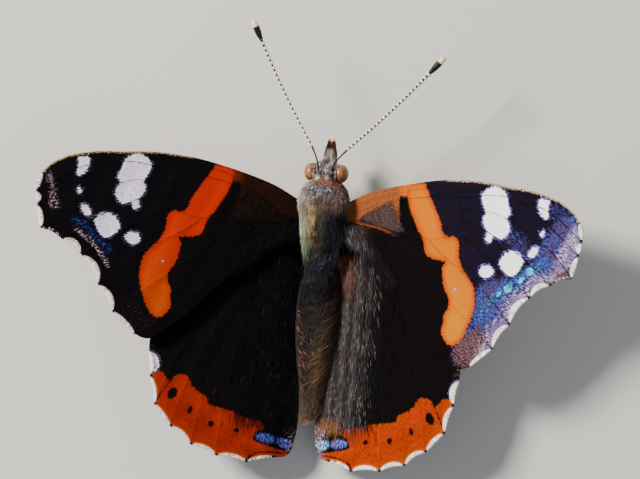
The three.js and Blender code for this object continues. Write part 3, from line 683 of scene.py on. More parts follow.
def wing_sheet(name, wing, side, read_marks, finishes):
    """One closed wing sheet with its markings stored on its points."""
    bm = bmesh.new()
    bmesh.ops.create_grid(bm, x_segments=WING_GRID[0], y_segments=WING_GRID[1], size=0.5)
    grown = bmesh.ops.extrude_face_region(bm, geom=bm.faces[:], use_keep_orig=True)["geom"]
    bmesh.ops.translate(bm, verts=[g for g in grown if isinstance(g, bmesh.types.BMVert)], vec=(0, 0, -1))
    bmesh.ops.recalc_face_normals(bm, faces=bm.faces[:])
    for face in bm.faces:
        face.material_index = 1 if face.normal.z < -0.5 else 0
    mesh = smooth_mesh(name, bm)
    square = mesh_points(mesh)
    across, along, level = square[:, 0] + 0.5, square[:, 1] + 0.5, np.where(square[:, 2] < -0.5, -1, 1)
    along = along ** 0.9  # finer cells towards the margin, where the bays are
    places = patch(wing, side, across, along)
    edge_gap, lead_gap, trail_gap = [line_distance(places, edge) for edge in wing_edges(wing, side, 80)]
    marks = read_marks(places, side, edge_gap, lead_gap)
    ridge = VEIN_RISE * np.exp(-((marks["vein"] / VEIN_WIDTH) ** 2))
    rim_gap = np.min([edge_gap, lead_gap, trail_gap], axis=0)
    thin = RIM_SHARE + (1 - RIM_SHARE) * step(rim_gap, 0, RIM_WIDTH)
    ripple = RIPPLE * np.sin(places[:, 0] * 1.9 + places[:, 1] * 0.8) * step(rim_gap, 0.5, 3)
    height = level * (SHEET_HALF + ridge) * thin + ripple
    points = on_insect(wing, side, places[:, 0], places[:, 1], height)
    mesh.vertices.foreach_set("co", to_world(points).ravel())
    if side == LEFT:
        mesh.flip_normals()
    for key, values in marks.items():
        stored = mesh.attributes.new(key, "FLOAT", "POINT")
        stored.data.foreach_set("value", values.astype(np.float32))
    corners = corner_points(mesh)
    half = np.where(level[corners] > 0, 0.0, 0.5)  # the upper side takes the left half of the bake map
    write_map(mesh, "OFBake", half + 0.01 + 0.48 * across[corners], 0.02 + 0.96 * along[corners])
    write_map(mesh, "scale rows", across[corners] * 20, along[corners] * 28)
    for finish in finishes:
        mesh.materials.append(finish)
    mesh.update()
    made = new_object(name, mesh)
    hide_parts(name.replace("_sheet", ""))
    print(name, len(mesh.polygons), "faces")


# %% [markdown]
# The finish of a wing
#
# Real wing scales overlap like roof tiles and all point from the root to the margin. A map with
# rows across and along the wing lets one stretched noise stand for them. The colours are laid on
# like paint: black ground, grey and rust dusting near the root, the orange band, blue and lilac
# scales, white marks, and last the dark lines of the veins. The right wing faces the sun in the
# photo and its scales shine, and that sheen is painted into its colours: each paint has a calm
# shade for the left wing and a shining one, with painted sheen, for the right. The table gives two
# of each for a streaky paint, a dark and a light one.


# %% Upper side of the wings
# dark and light on the calm left wing, then on the shining right one, with its painted sheen
UPPER_PAINTS = {
    "ground": (((7, 5, 5), (12, 10, 10)), ((7, 5, 5), (14, 11, 11))),
    "field": (((6, 5, 7), (11, 9, 14)), ((14, 10, 22), (25, 19, 40))),
    "sheen": (((26, 28, 78), (70, 78, 150)),) * 2,
    "plum haze": (((34, 28, 60), (88, 72, 124)),) * 2,
    "grey": (((9, 6, 5), (22, 14, 11)), ((30, 24, 24), (92, 74, 72))),
    "rust": (((20, 8, 5), (40, 18, 9)), ((106, 48, 18), (160, 94, 54))),
    "brown": (((20, 12, 12), (44, 28, 26)), ((58, 36, 34), (104, 74, 84))),
    "hind orange": (((104, 17, 2), (128, 26, 3)), ((132, 24, 1), (148, 34, 2))),
    "orange middle": (((160, 26, 1), (152, 56, 4)), ((186, 98, 0), (190, 112, 0))),
    "orange edge": (((150, 20, 1), (140, 42, 3)), ((176, 56, 0), (176, 66, 0))),
    "hind blue": (((30, 90, 150), (110, 180, 214)),) * 2,
    "blue": (((10, 12, 40), (36, 54, 124)), ((4, 40, 110), (20, 130, 190))),
    "teal": (((10, 120, 180), (90, 214, 236)),) * 2,
    "violet": (((24, 26, 84), (78, 84, 168)), ((44, 48, 124), (112, 116, 196))),
    "pale": (((84, 68, 80), (168, 144, 154)), ((104, 88, 144), (214, 190, 212))),
    "white shadow": (((40, 40, 60), (80, 78, 104)), ((52, 44, 110), (120, 110, 190))),
    "white": (((176, 164, 190), (214, 204, 222)), ((243, 240, 246), (252, 252, 253))),
    "gold": (((60, 44, 22), (170, 142, 88)), ((110, 88, 60), (214, 190, 160))),
}
# one shade on the left wing, then one on the right wing, with its painted sheen
UPPER_SHADES = {
    "warm field": ((8, 6, 8), (20, 12, 20)), "rust by the band": ((84, 30, 8), (196, 92, 12)),
    "bright streak": ((184, 56, 6), (204, 116, 4)), "orange at the margin": ((160, 60, 10), (184, 80, 14)),
    "arc": ((74, 18, 4), (104, 30, 4)), "vein in the band": ((70, 14, 4), (120, 34, 6)),
    "dull pale": ((140, 116, 128), (134, 116, 162)), "vein": ((9, 7, 7), (11, 9, 16)),
    "dark": ((8, 6, 7), (8, 6, 7)),
}


def upper_finish(side, hind):
    f = Finish("wing scales above " + SIDE_NAMES[side] + (" hind" if hind else " fore"), roughness=0.75,
               Specular_IOR_Level=0.02)
    rows = f.uv("scale rows")
    fray = f.noise(f.stretch(rows, (8.5, 2.3, 1)), 1.0, 2.0)
    grain = f.noise(f.stretch(rows, (11.0, 5.0, 1)), 1.0, 1.0)
    broad = f.noise(rows, 0.45, 2.0)
    tiles = f.cells(f.stretch(rows, (8.0, 4.0, 1)), 1.0)
    frayed = f.plus(fray, -0.5)
    speckled = f.plus(f.times(f.plus(grain, -0.5), 1.5), f.times(frayed, 1.9))
    fine = f.fade(grain, 0.35, 0.7)
    streaks = f.fade(fray, 0.38, 0.62)
    band, low_end, vein = f.attribute("band"), f.attribute("low end"), f.attribute("vein")

    def shade(name):
        return srgb(*UPPER_SHADES[name][side == RIGHT])

    def pair(name, share=streaks):
        dark, light = UPPER_PAINTS[name][side == RIGHT]
        return f.mix(share, srgb(*dark), srgb(*light))

    def depth(name, amount):
        return f.plus(f.attribute(name), f.times(frayed, amount))

    def dusted(name, low=0.4, high=0.7):
        """Scale by scale, and nothing at all where the number on the mesh is 0."""
        value = f.attribute(name)
        return f.times(f.fade(f.plus(value, speckled), low, high), f.fade(value, 0.0, 0.12))

    def sprinkled(name, share=1.0):
        """Softer than dusted: most of the scales take a part of the colour."""
        value = f.attribute(name)
        cover = f.fade(f.plus(value, f.times(speckled, 0.75)), 0.15, 1.0)
        return f.times(f.times(cover, f.fade(value, 0.0, 0.12)), share)

    field = f.mix(f.fade(broad, 0.4, 0.7), pair("field", fine), shade("warm field"))
    colour = f.mix(f.attribute("field"), pair("ground", fine), field)
    sheen = f.mix(f.fade(broad, 0.42, 0.6), pair("sheen"), pair("plum haze", fine))
    colour = f.mix(sprinkled("sheen"), colour, sheen)
    colour = f.mix(sprinkled("grey", 0.95), colour, pair("grey", fine))
    rust = f.mix(f.fade(band, -1.6, -0.1), pair("rust", fine), shade("rust by the band"))
    colour = f.mix(dusted("rust", 0.3, 0.75), colour, rust)
    colour = f.mix(dusted("brown"), colour, pair("brown"))
    if hind:
        orange = f.mix(low_end, pair("hind orange", f.fade(broad, 0.3, 0.7)), shade("orange at the margin"))
    else:
        orange = f.mix(f.fade(band, 0.0, 0.75), pair("orange edge", low_end), pair("orange middle", low_end))
    orange = f.mix(f.times(streaks, 0.16), orange, shade("bright streak"))
    if hind:
        orange = f.mix(f.attribute("arc"), orange, shade("arc"))
    vein_share = 0.45 if hind else 0.6
    orange = f.mix(f.times(f.fade(vein, 0.11, 0.03), vein_share), orange, shade("vein in the band"))
    colour = f.mix(f.fade(depth("band", 0.75), -0.05, 0.05), colour, orange)
    colour = f.mix(f.fade(depth("dark", 0.6), -0.04, 0.04), colour, shade("dark"))
    if hind:
        colour = f.mix(sprinkled("blue"), colour, pair("hind blue"))
        colour = f.mix(sprinkled("violet"), colour, pair("violet"))
    else:
        blue = f.mix(f.fade(f.attribute("blue"), 0.5, 0.9), pair("blue"), pair("teal"))
        colour = f.mix(dusted("blue", 0.3, 0.9), colour, blue)
    pale = f.mix(f.fade(broad, 0.46, 0.6), pair("pale"), shade("dull pale"))
    # the lilac on the right wing is sprinkled wider, as painted sheen
    colour = f.mix(dusted("pale", 0.5, 1.0) if side == LEFT else sprinkled("pale", 0.92), colour, pale)
    colour = f.mix(f.times(f.fade(depth("white", 1.5), -0.1, 0.0), 0.7), colour, pair("white shadow"))
    colour = f.mix(f.fade(depth("white", 0.7), 0.07, 0.15), colour, pair("white"))
    if not hind:
        colour = f.mix(dusted("gold edge", 0.5, 0.8), colour, pair("gold", fine))
    outside = f.math("SUBTRACT", f.fade(band, 0.1, -0.1), f.attribute("rust"))
    colour = f.mix(f.times(f.times(f.fade(vein, 0.13, 0.05), 0.8), outside), colour, shade("vein"))
    f.set("Base Color", colour)
    f.set("Normal", f.bump(grain, 0.00004, 0.45, f.bump(tiles, 0.00003, 0.4)))
    return f.material


# %% [markdown]
# The underside
#
# Seen from below the forewing repeats its band and white marks in softer colours, and the
# hindwing is bark brown, marbled by wavy lines. Voronoi cells warped by noise make that marbling.


# %% Underside of the wings
def lower_finish(name, marbled):
    f = Finish(name, roughness=0.75, Specular_IOR_Level=0.15)
    rows = f.uv("scale rows")
    fray = f.plus(f.noise(f.stretch(rows, (5.5, 1.8, 1)), 1.0, 2.0), -0.5)
    grain = f.noise(f.stretch(rows, (9.0, 4.5, 1)), 1.0, 1.0)
    broad = f.noise(rows, 0.55, 4.0, 0.65)
    bent = f.add("VectorMath", {0: rows, 1: f.times(broad, 4.0)}, operation="ADD")
    cell = f.cells(bent, 0.5, feature="DISTANCE_TO_EDGE")
    brown = f.mix(f.fade(broad, 0.35, 0.65), srgb(44, 33, 28), srgb(96, 78, 63))
    brown = f.mix(f.fade(cell, 0.14, 0.02), brown, srgb(20, 15, 15))
    brown = f.mix(f.times(f.fade(broad, 0.55, 0.72), 0.7), brown, srgb(140, 126, 110))
    if not marbled:
        brown = f.mix(f.fade(f.attribute("field"), 0.3, 0.9), srgb(28, 21, 20), brown)
    colour = f.mix(f.times(f.fade(grain, 0.4, 0.8), 0.3), brown, srgb(122, 100, 80))
    if not marbled:
        for mark, shade in (("band", (190, 62, 30)), ("white", (216, 208, 198))):
            depth = f.plus(f.attribute(mark), f.times(fray, 0.9))
            colour = f.mix(f.fade(depth, -0.1, 0.1), colour, srgb(*shade))
        colour = f.mix(f.times(f.attribute("blue"), 0.6), colour, srgb(70, 86, 150))
    colour = f.mix(f.times(f.fade(f.attribute("vein"), 0.2, 0.06), 0.5), colour, srgb(74, 52, 38))
    f.set("Base Color", colour)
    f.set("Normal", f.bump(grain, 0.00005, 0.6))
    return f.material


# %% Make the four wings
below_fore = lower_finish("forewing scales below", False)
below_hind = lower_finish("hindwing scales below", True)
for side in (LEFT, RIGHT):
    word = SIDE_NAMES[side]
    above_fore, above_hind = upper_finish(side, False), upper_finish(side, True)
    wing_sheet("forewing_" + word + "_sheet", FOREWING, side, forewing_marks, (above_fore, below_fore))
    wing_sheet("hindwing_" + word + "_sheet", HINDWING, side, hindwing_marks, (above_hind, below_hind))

# %% [markdown]
# One skin for head, thorax and abdomen
#
# The solids part the body at the neck and the waist. A real insect shows no gap there, only a
# pinch, so one skin runs from the forehead to the tail. A bmesh sphere already has the rings and
# the two poles that a body needs: each ring moves to its station and takes its width and height
# from a short table. The skin lies half a millimetre inside the solids, to leave room for hair.

# %% Body sizes
# ahead, middle height, half width, reach above, reach below
BODY_TABLE = [
    (-25.35, -2.45, 0.15, 0.12, 0.15), (-25.1, -2.45, 0.42, 0.34, 0.38), (-24.4, -2.45, 0.66, 0.5, 0.58),
    (-22, -2.35, 1.05, 0.82, 0.85), (-19, -2.15, 1.5, 1.18, 1.2), (-16, -1.85, 1.78, 1.4, 1.45),
    (-13, -1.45, 1.86, 1.52, 1.6), (-10, -0.95, 1.68, 1.45, 1.55), (-8.4, -0.65, 1.3, 1.1, 1.3),
    (-7.7, -0.5, 1.35, 1.15, 1.3), (-6.2, -0.3, 1.75, 1.6, 1.9), (-4.4, -0.1, 2.15, 2.1, 2.3),
    (-2.4, -0.05, 2.55, 2.35, 2.4), (-0.6, 0.1, 2.75, 2.2, 2.35), (0.8, 0.35, 2.5, 1.75, 1.85),
    (1.6, 0.4, 1.95, 1.25, 1.35), (2.05, 0.36, 1.66, 1.08, 1.18), (2.6, 0.35, 1.58, 1.1, 1.15),
    (3.3, 0.3, 1.42, 1.08, 1.12), (3.95, 0.15, 1.1, 0.88, 0.92), (4.25, 0.05, 0.6, 0.5, 0.5),
    (4.35, 0.03, 0.2, 0.2, 0.2),
]
HEAD_LEAN = 0.3
BODY_LINE = smooth_line(BODY_TABLE, 500)
TAIL, FOREHEAD = BODY_TABLE[0][0], BODY_TABLE[-1][0]
SHOULDER = {"ahead": -0.8, "angle": 42, "length": 1.4, "spread": 20, "rise": 0.5}
ABDOMEN_START, ABDOMEN_LENGTH, ABDOMEN_SEGMENTS = -8.2, 17.2, 8


def body_side(ahead):
    """How far the body leans to its right at a station."""
    return HEAD_LEAN * step(ahead, -12, 3)


def body_point(ahead, angle):
    """Skin places for stations and angles; angle 0 is the right side and 90 degrees the back."""
    mid, half, above, below = [np.interp(ahead, BODY_LINE[:, 0], BODY_LINE[:, k]) for k in range(1, 5)]
    up = np.sin(angle)
    reach = np.where(up > 0, above, below)
    on_abdomen = step(-ahead, 8.3, 9.5)
    groove = np.abs(np.sin(np.pi * (ahead - ABDOMEN_START) / ABDOMEN_LENGTH * ABDOMEN_SEGMENTS))
    pinch = 1 - 0.035 * on_abdomen * (1 - groove) ** 4
    shoulder = 0
    for middle in (SHOULDER["angle"], 180 - SHOULDER["angle"]):
        off = (np.degrees(angle) - middle + 180) % 360 - 180
        bump = ((ahead - SHOULDER["ahead"]) / SHOULDER["length"]) ** 2 + (off / SHOULDER["spread"]) ** 2
        shoulder = shoulder + SHOULDER["rise"] * np.exp(-bump)
    x = body_side(ahead) + (half * pinch + shoulder) * np.cos(angle)
    z = mid + (reach * pinch + shoulder) * up
    return np.stack([x, ahead, z], -1)


# %% [markdown]
# One set of colours for skin and hair
#
# Skin and coat must carry the same markings, or the skin shows through as a stain. So one function
# gives the colour at any station and angle, and both read it. The sun in the photo turns the hair
# on the left of the thorax olive and gold, and leaves its right blue-black: that sheen is painted
# into the colours, with a green glint on the left and blue-grey highlights on the right flank.


# %% Body colours
def paint(red, green, blue):
    return np.array(srgb(red, green, blue)[:3])


def plain(count, shade):
    return np.tile(paint(*shade), (count, 1))


def blend(first, second, share):
    share = np.asarray(share)[:, None]
    return first * (1 - share) + second * share


def layered(base, *layers):
    """A shade under layers of others, each with how much it covers at every place."""
    colour = paint(*base)
    for shade, share in layers:
        colour = blend(colour, paint(*shade), share)
    return colour


# ahead, share to the side, size and colour of the tufts on the head
HEAD_SPOTS = [
    (4.0, 0.1, 0.34, (44, 38, 42)), (3.05, -0.27, 0.26, (46, 42, 50)), (2.85, 0.6, 0.34, (26, 18, 20)),
    (2.45, 0.75, 0.3, (40, 24, 24)), (3.45, -0.5, 0.22, (206, 200, 192)),
    (2.55, -0.55, 0.3, (190, 182, 160)), (3.4, 0.12, 0.24, (182, 186, 204)),
    (2.5, 0.2, 0.26, (196, 170, 120)), (3.0, -0.85, 0.24, (40, 34, 36)), (3.7, 0.6, 0.24, (176, 150, 142)),
    (3.8, -0.55, 0.24, (150, 128, 126)), (2.65, -0.1, 0.16, (40, 36, 44)),
]


def body_colour(ahead, angle):
    """Linear colours of the body for stations and angles, laid on from the thorax to the belly."""
    across, up, turn = np.cos(angle), np.sin(angle), np.degrees(angle)  # across: -1 left, 1 right
    wander = 0.12 * np.sin(ahead * 2.1 + turn * 0.05) + 0.08 * np.sin(ahead * 5.3)
    left = wander - across
    # painted sheen of the sun on the left of the thorax: a gold streak and a green glint
    streak = step(left, 0.1, 0.3) * step(-left, -0.66, -0.4) * step(ahead, -5.6, -3.0)
    glint = step(-np.hypot((ahead + 4.6) / 0.9, (across + 0.66) / 0.14), -1.4, -0.4)
    specks = step(ahead, 0.55, 0.85) * step(-ahead, -1.5, -1.2) * step(-np.abs(across + 0.1), -0.6, -0.4)
    speckle = step(np.sin(turn * 0.45 + ahead * 9) * np.sin(turn * 0.23 - ahead * 5), -0.2, 0.3)
    neck = step(ahead, 1.35, 1.7)
    layers = [
        # painted highlight: blue-grey on the right flank
        ((70, 74, 84), 0.5 * step(across + wander, 0.6, 0.95) * step(-ahead, 2.5, 4.5)),
        # painted sheen on the sunlit left: olive, then the gold streak
        ((134, 136, 118), step(left, 0.4, 0.75) * step(ahead, -7.0, -3.5)),
        ((152, 130, 84), 0.9 * streak),
        ((56, 42, 32), step(across, -0.16, -0.04) * step(-across, -0.14, 0.02)),
        ((62, 57, 49), step(across, -0.02, 0.08) * step(-across, -0.4, -0.2)),
        # painted glint: green
        ((84, 132, 84), 0.5 * glint),
        ((32, 35, 47), step(-ahead, 5.2, 7.0) * step(across, -0.75, -0.35)),
        ((96, 76, 70), 0.8 * step(ahead, -1.8, -0.1) * step(across, -0.5, -0.1)),
        ((142, 134, 124), step(ahead, -1.6, 0.2) * step(-across, 0.2, 0.6)),
        ((112, 104, 102), 0.8 * step(ahead, 0.25, 0.6) * step(-across, -0.75, -0.2)),
        ((138, 146, 162), specks * speckle),
        ((52, 48, 54), specks * (1 - speckle) * 0.6),
        ((116, 80, 68), 0.85 * neck * step(across, -0.8, -0.3)),
        ((58, 36, 34), 0.8 * neck * step(across, 0.3, 0.6)),
        ((104, 96, 99), step(ahead, 2.2, 2.6)),
    ]
    for place, side_share, wide, shade in HEAD_SPOTS:
        near = np.hypot((ahead - place) / wide, (across - side_share) / wide * 1.4)
        layers.append((shade, 0.9 * step(-near, -1.15, -0.6) * step(up, -0.1, 0.2)))
    layers += [
        ((17, 14, 15), step(-ahead, 7.4, 8.4)),
        ((30, 24, 22), step(-ahead, 11, 15)),
        ((58, 44, 31), 0.6 * step(-ahead, 10, 15) * step(across + wander, -0.2, 0.5)),
        ((70, 58, 42), step(-ahead, 21, 24.5)),
        ((118, 102, 84), step(-up, 0.05, 0.6)),
    ]
    return layered((25, 25, 31), *layers)


# %% Make the skin
def coat_finish(name, roughness, shine):
    f = Finish(name, roughness=roughness, Specular_IOR_Level=shine)
    spots = f.noise(f.place(), 9000.0, 2.0)
    colour = f.attribute("coat colour", "Color")
    f.set("Base Color", f.mix(f.times(f.fade(spots, 0.35, 0.7), 0.35), colour, colour, "ADD"))
    f.set("Normal", f.bump(spots, 0.00004, 0.6))
    return f.material


def store_colour(mesh, colours):
    layer = mesh.color_attributes.new("coat colour", "FLOAT_COLOR", "POINT")
    layer.data.foreach_set("color", np.c_[colours, np.ones(len(colours))].astype(np.float32).ravel())


# painted shade: the skin repeats the coat's colours, darkened as in the shade of the hair over it
SKIN_PAINTED_SHADE = 0.55  # the skin is darker than the hair over it


def body_skin():
    around, rings = 72, 260
    bm = bmesh.new()
    bmesh.ops.create_uvsphere(bm, u_segments=around, v_segments=rings, radius=1)
    mesh = smooth_mesh("body_skin", bm)
    ball = mesh_points(mesh)
    share = 1 - np.arccos(np.clip(ball[:, 2], -1, 1)) / np.pi
    angle = np.arctan2(ball[:, 1], ball[:, 0])
    ahead = TAIL + (FOREHEAD - TAIL) * share
    at_pole = np.hypot(ball[:, 0], ball[:, 1]) < 1e-4
    points = body_point(ahead, angle)
    middle = np.interp(ahead, BODY_LINE[:, 0], BODY_LINE[:, 1])
    points[at_pole] = np.stack([body_side(ahead), ahead, middle], -1)[at_pole]
    # the sphere's axis was up and is now ahead, which turns it inside out
    mesh.vertices.foreach_set("co", to_world(points).ravel())
    mesh.flip_normals()
    store_colour(mesh, SKIN_PAINTED_SHADE * body_colour(ahead, angle))
    # the bake map may not fold back over itself where the angle starts anew, nor at the poles
    corners = corner_points(mesh)
    turn = (angle[corners] / (2 * np.pi)) % 1.0
    faces = np.repeat(np.arange(len(mesh.polygons)), [p.loop_total for p in mesh.polygons])
    highest = np.zeros(len(mesh.polygons))
    np.maximum.at(highest, faces, turn)
    turn = np.where((highest[faces] > 0.75) & (turn < 0.25), turn + 1, turn)
    turn = np.where(at_pole[corners], highest[faces] - 0.5 / around, turn)
    write_map(mesh, "OFBake", 0.01 + 0.95 * turn, 0.01 + 0.98 * share[corners])
    mesh.materials.append(coat_finish("body skin", 0.6, 0.2))
    mesh.update()
    made = new_object("body_skin", mesh)
    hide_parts("head", "thorax", "abdomen")
    print("skin", len(mesh.polygons), "faces")


body_skin()

# %% [markdown]
# Rods for feelers, legs and mouth parts
#
# Every slender part is a rod along a smooth line, thick where the real one is. The same bmesh
# sphere serves again: its rings are threaded on the line, each square to it, and its poles close
# both ends. Joined meshes of such rods make a whole leg. The distance along each rod is kept on
# its points, so that rings and joints can be coloured where they fall.


# %% Rod helper
def rod(bm, path, radii, rings=24, around=10):
    """A closed rod along a line in insect millimetres, with radii spread evenly along it."""
    line = smooth_line(path, rings + 1)
    run = distances(line)
    radius = np.interp(np.linspace(0, 1, rings + 1), np.linspace(0, 1, len(radii)), radii)
    end_gap = np.minimum(run, run[-1] - run)
    cap = np.sqrt(np.clip(1 - (1 - np.minimum(end_gap / radius, 1)) ** 2, 0, 1))
    along = bm.verts.layers.float.get("along") or bm.verts.layers.float.new("along")
    tangents = unit(np.gradient(line, axis=0))
    across = np.cross(tangents[0], (0.31, 0.12, 0.94))  # any way that no rod starts along
    frames = []
    for tangent in tangents:
        across = across - tangent * (across @ tangent)
        across /= np.linalg.norm(across)
        frames.append((across, np.cross(tangent, across)))
    for vert in bmesh.ops.create_uvsphere(bm, u_segments=around, v_segments=rings, radius=1)["verts"]:
        x, y, z = vert.co
        ring = round((1 - math.acos(max(-1, min(1, z))) / math.pi) * rings)
        flat = math.hypot(x, y)
        reach = radius[ring] * cap[ring] / flat if flat > 1e-5 else 0
        one, two = frames[ring]
        vert.co = line[ring] + (one * x + two * y) * reach
        vert[along] = run[ring]


def rod_object(name, bm, finish, slot, *nodes):
    """Turns a bmesh in insect millimetres into a finished piece."""
    bmesh.ops.scale(bm, vec=(MM, MM, MM), verts=bm.verts)
    bmesh.ops.translate(bm, vec=ZERO, verts=bm.verts)
    mesh = smooth_mesh(name, bm)
    mesh.materials.append(finish)
    made = new_object(name, mesh)
    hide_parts(*nodes)
    print(name, len(mesh.polygons), "faces")


# %% [markdown]
# Feelers
#
# A red admiral's feeler is a chain of small beads, black with a white ring each, and ends in a
# black club with a pale tip. The beads are real swellings of the rod, and the rings are painted by
# the distance along it, so both fall in step.

# %% Feelers
BEAD = {LEFT: 0.62, RIGHT: 0.56}
BEAD_RADIUS = {LEFT: 0.15, RIGHT: 0.175}
BARE = {LEFT: 3.2, RIGHT: 3.5}  # the lowest part has no rings
BARE_RADIUS = 0.09
FEELER_ROOT = (0.75, 3.15, 1.1)
FEELER_BENDS = {
    LEFT: [(-0.55, 4.2, 1.75), (-1.2, 5.9, 2.35), (-8.6, 20, 5.5)],
    RIGHT: [(1.6, 4.3, 1.75), (3.0, 5.85, 2.1), (13.84, 17.25, 3.2)],
}
FEELER_BOW = 0.25
CLUB = {"radius": 0.38, "from tip": 1.15, "half length": 1.35}


def feeler_finish(side, length):
    f = Finish("feeler " + SIDE_NAMES[side], roughness=0.5, Specular_IOR_Level=0.25)
    along = f.attribute("along")
    phase = f.math("FRACT", f.math("DIVIDE", along, BEAD[side]))
    speck = f.noise(f.place(), 12000.0, 2.0)
    wave = f.plus(f.math("ABSOLUTE", f.plus(phase, -0.5)), f.times(f.plus(speck, -0.5), 0.08))
    ring = f.times(f.fade(wave, 0.31, 0.25), f.fade(along, BARE[side] - 0.2, BARE[side] + 0.2))
    white = f.mix(f.fade(speck, 0.35, 0.65), srgb(206, 200, 176), srgb(246, 242, 224))
    colour = f.mix(ring, srgb(34, 25, 21), white)
    colour = f.mix(f.fade(along, length - 2.7, length - 2.4), colour, srgb(14, 10, 9))
    colour = f.mix(f.fade(along, length - 0.95, length - 0.8), colour, srgb(236, 214, 160))
    f.set("Base Color", colour)
    f.set("Normal", f.bump(speck, 0.00002, 0.4))
    return f.material


def feeler(side):
    knee, start, tip = [np.array(p, float) for p in FEELER_BENDS[side]]
    root = np.array(FEELER_ROOT) * (side, 1, 1) + (HEAD_LEAN, 0, 0)
    outward = np.array([tip[1] - start[1], start[0] - tip[0], 0])
    outward *= side * FEELER_BOW / np.linalg.norm(outward)
    shaft = [start + (tip - start) * t + outward * math.sin(math.pi * t) for t in (0.25, 0.5, 0.75, 1)]
    path = [root, knee, start, *shaft]
    length = distances(smooth_line(path, 400))[-1]
    run = np.linspace(0, length, 600)
    bare = BARE[side]
    swelling = np.cos(2 * np.pi * (run / BEAD[side] - 0.5)) * step(run, bare - 0.6, bare + 0.6)
    bead = BEAD_RADIUS[side] * (0.85 + 0.25 * run / length)
    beads = BARE_RADIUS + (bead - BARE_RADIUS) * step(run, bare - 1.2, bare + 0.6) + 0.045 * swelling
    beads += 0.12 * step(-run, -0.7, -0.1)
    gap = length - run
    off = np.abs((gap - CLUB["from tip"]) / CLUB["half length"])
    club = CLUB["radius"] * np.sqrt(np.clip(1 - off ** 2.6, 0, 1))
    widening = beads + 0.06 * step(-gap, -4.2, -2.2)
    radii = np.maximum(np.where(gap > 1.2, widening, 0.12), club)
    bm = bmesh.new()
    rod(bm, path, radii, rings=300, around=14)
    name = "antenna_" + SIDE_NAMES[side]
    rod_object(name + "_beads", bm, feeler_finish(side, length), "feeler", name)


for side in (LEFT, RIGHT):
    feeler(side)

# %% [markdown]
# Eyes
#
# The eyes are large amber domes with a dark rim. Each one is a fine icosphere drawn out to the
# eye's own radii. Thousands of lenses are far too small to model, so Voronoi cells in the bump
# stand for them and break up the highlight.

# %% Eyes
EYE = {"radii": (0.92, 1.08, 1.15), "side": 1.7, "ahead": 3.0, "up": 0.3}


def eye_finish(side):
    f = Finish("eye " + SIDE_NAMES[side], roughness=0.42, Coat_Weight=0.25, Coat_Roughness=0.2)
    place = f.place()
    lenses = f.cells(place, 26000.0)
    broad = f.noise(place, 1400.0, 2.0)
    amber = f.mix(f.fade(broad, 0.35, 0.65), srgb(104, 58, 18), srgb(150, 94, 36))
    colour = f.mix(f.fade(f.attribute("rim"), 0.6, 0.05), amber, srgb(40, 18, 10))
    f.set("Base Color", colour)
    f.set("Normal", f.bump(lenses, 0.00001, 0.5))
    return f.material


def eye(side):
    bm = bmesh.new()
    bmesh.ops.create_icosphere(bm, subdivisions=5, radius=1)
    rim = bm.verts.layers.float.new("rim")
    for vert in bm.verts:
        vert[rim] = max(0, side * vert.co.x * 0.8 + vert.co.z * 0.25 + 0.35)
        # a dome bulges outwards and is flatter where it meets the head
        flatter = 1.0 if side * vert.co.x > 0 else 0.8
        vert.co *= Vector(EYE["radii"]) * Vector((flatter, 1, 1))
        vert.co += Vector((HEAD_LEAN + side * EYE["side"], EYE["ahead"], EYE["up"]))
    name = "eye_" + SIDE_NAMES[side]
    rod_object(name + "_dome", bm, eye_finish(side), "eye", name)


for side in (LEFT, RIGHT):
    eye(side)

# %% [markdown]
# Mouth parts
#
# Two furry palps point ahead like a beak, and the long tongue is rolled up beneath them like a
# watch spring. The coil is a spiral worked out by a loop, and gets finer towards its middle.

# %% Palps and tongue
PALP_ENDS = ((0.1, 0.42), (0.24, 0.27))  # at base and tip: how far aside, and how far from the middle
PALP_LINE = [(0, 3.4, -1.05), (0, 4.4, -0.85), (0.5, 5.5, -0.5), (1, 6.3, -0.22), (1, 6.8, -0.1)]
COIL = {"ahead": 4.6, "up": -1.75, "radius": 0.72, "turns": 3.3}


def palp_line(side):
    base, tip = [HEAD_LEAN + lean + side * apart for lean, apart in PALP_ENDS]
    return [(base + share * (tip - base), ahead, up) for share, ahead, up in PALP_LINE]


def plain_finish(name, dark, light, scale, roughness=0.55, shine=0.3):
    """A finish of two close shades in fine spots."""
    f = Finish(name, roughness=roughness, Specular_IOR_Level=shine)
    spots = f.noise(f.place(), scale, 3.0)
    f.set("Base Color", f.mix(f.fade(spots, 0.35, 0.65), srgb(*dark), srgb(*light)))
    f.set("Normal", f.bump(spots, 0.00003, 0.5))
    return f.material


palp_finish = plain_finish("palp", (34, 24, 24), (92, 84, 80), 9000.0)
for side in (LEFT, RIGHT):
    bm = bmesh.new()
    rod(bm, palp_line(side), (0.3, 0.36, 0.36, 0.27, 0.18, 0.1), rings=40, around=14)
    name = "palp_" + SIDE_NAMES[side]
    rod_object(name + "_core", bm, palp_finish, "fur", name)

turns = np.linspace(0, 1, 80)
spiral_angle = math.pi * 0.75 - 2 * math.pi * COIL["turns"] * turns
spiral_reach = COIL["radius"] * (1 - 0.9 * turns)
spiral = [(HEAD_LEAN, COIL["ahead"] - 0.9, COIL["up"] + 0.9)]
for angle, reach in zip(spiral_angle, spiral_reach):
    spiral.append((HEAD_LEAN, COIL["ahead"] + reach * math.cos(angle), COIL["up"] + reach * math.sin(angle)))
bm = bmesh.new()
rod(bm, spiral, (0.14, 0.13, 0.11, 0.09, 0.05), rings=220, around=12)
tongue_finish = plain_finish("tongue", (40, 22, 14), (92, 56, 32), 6000.0, 0.35, 0.5)
rod_object("tongue", bm, tongue_finish, "feeler", "proboscis")

# %% [markdown]
# Legs
#
# A brush-footed butterfly stands on four legs; the front pair is short and folded under the neck.
# Each leg is a chain of rods: thigh, shin and a foot of five joints, with two claws. Fine spines
# line the shin and the foot. The feet end exactly on the floor.

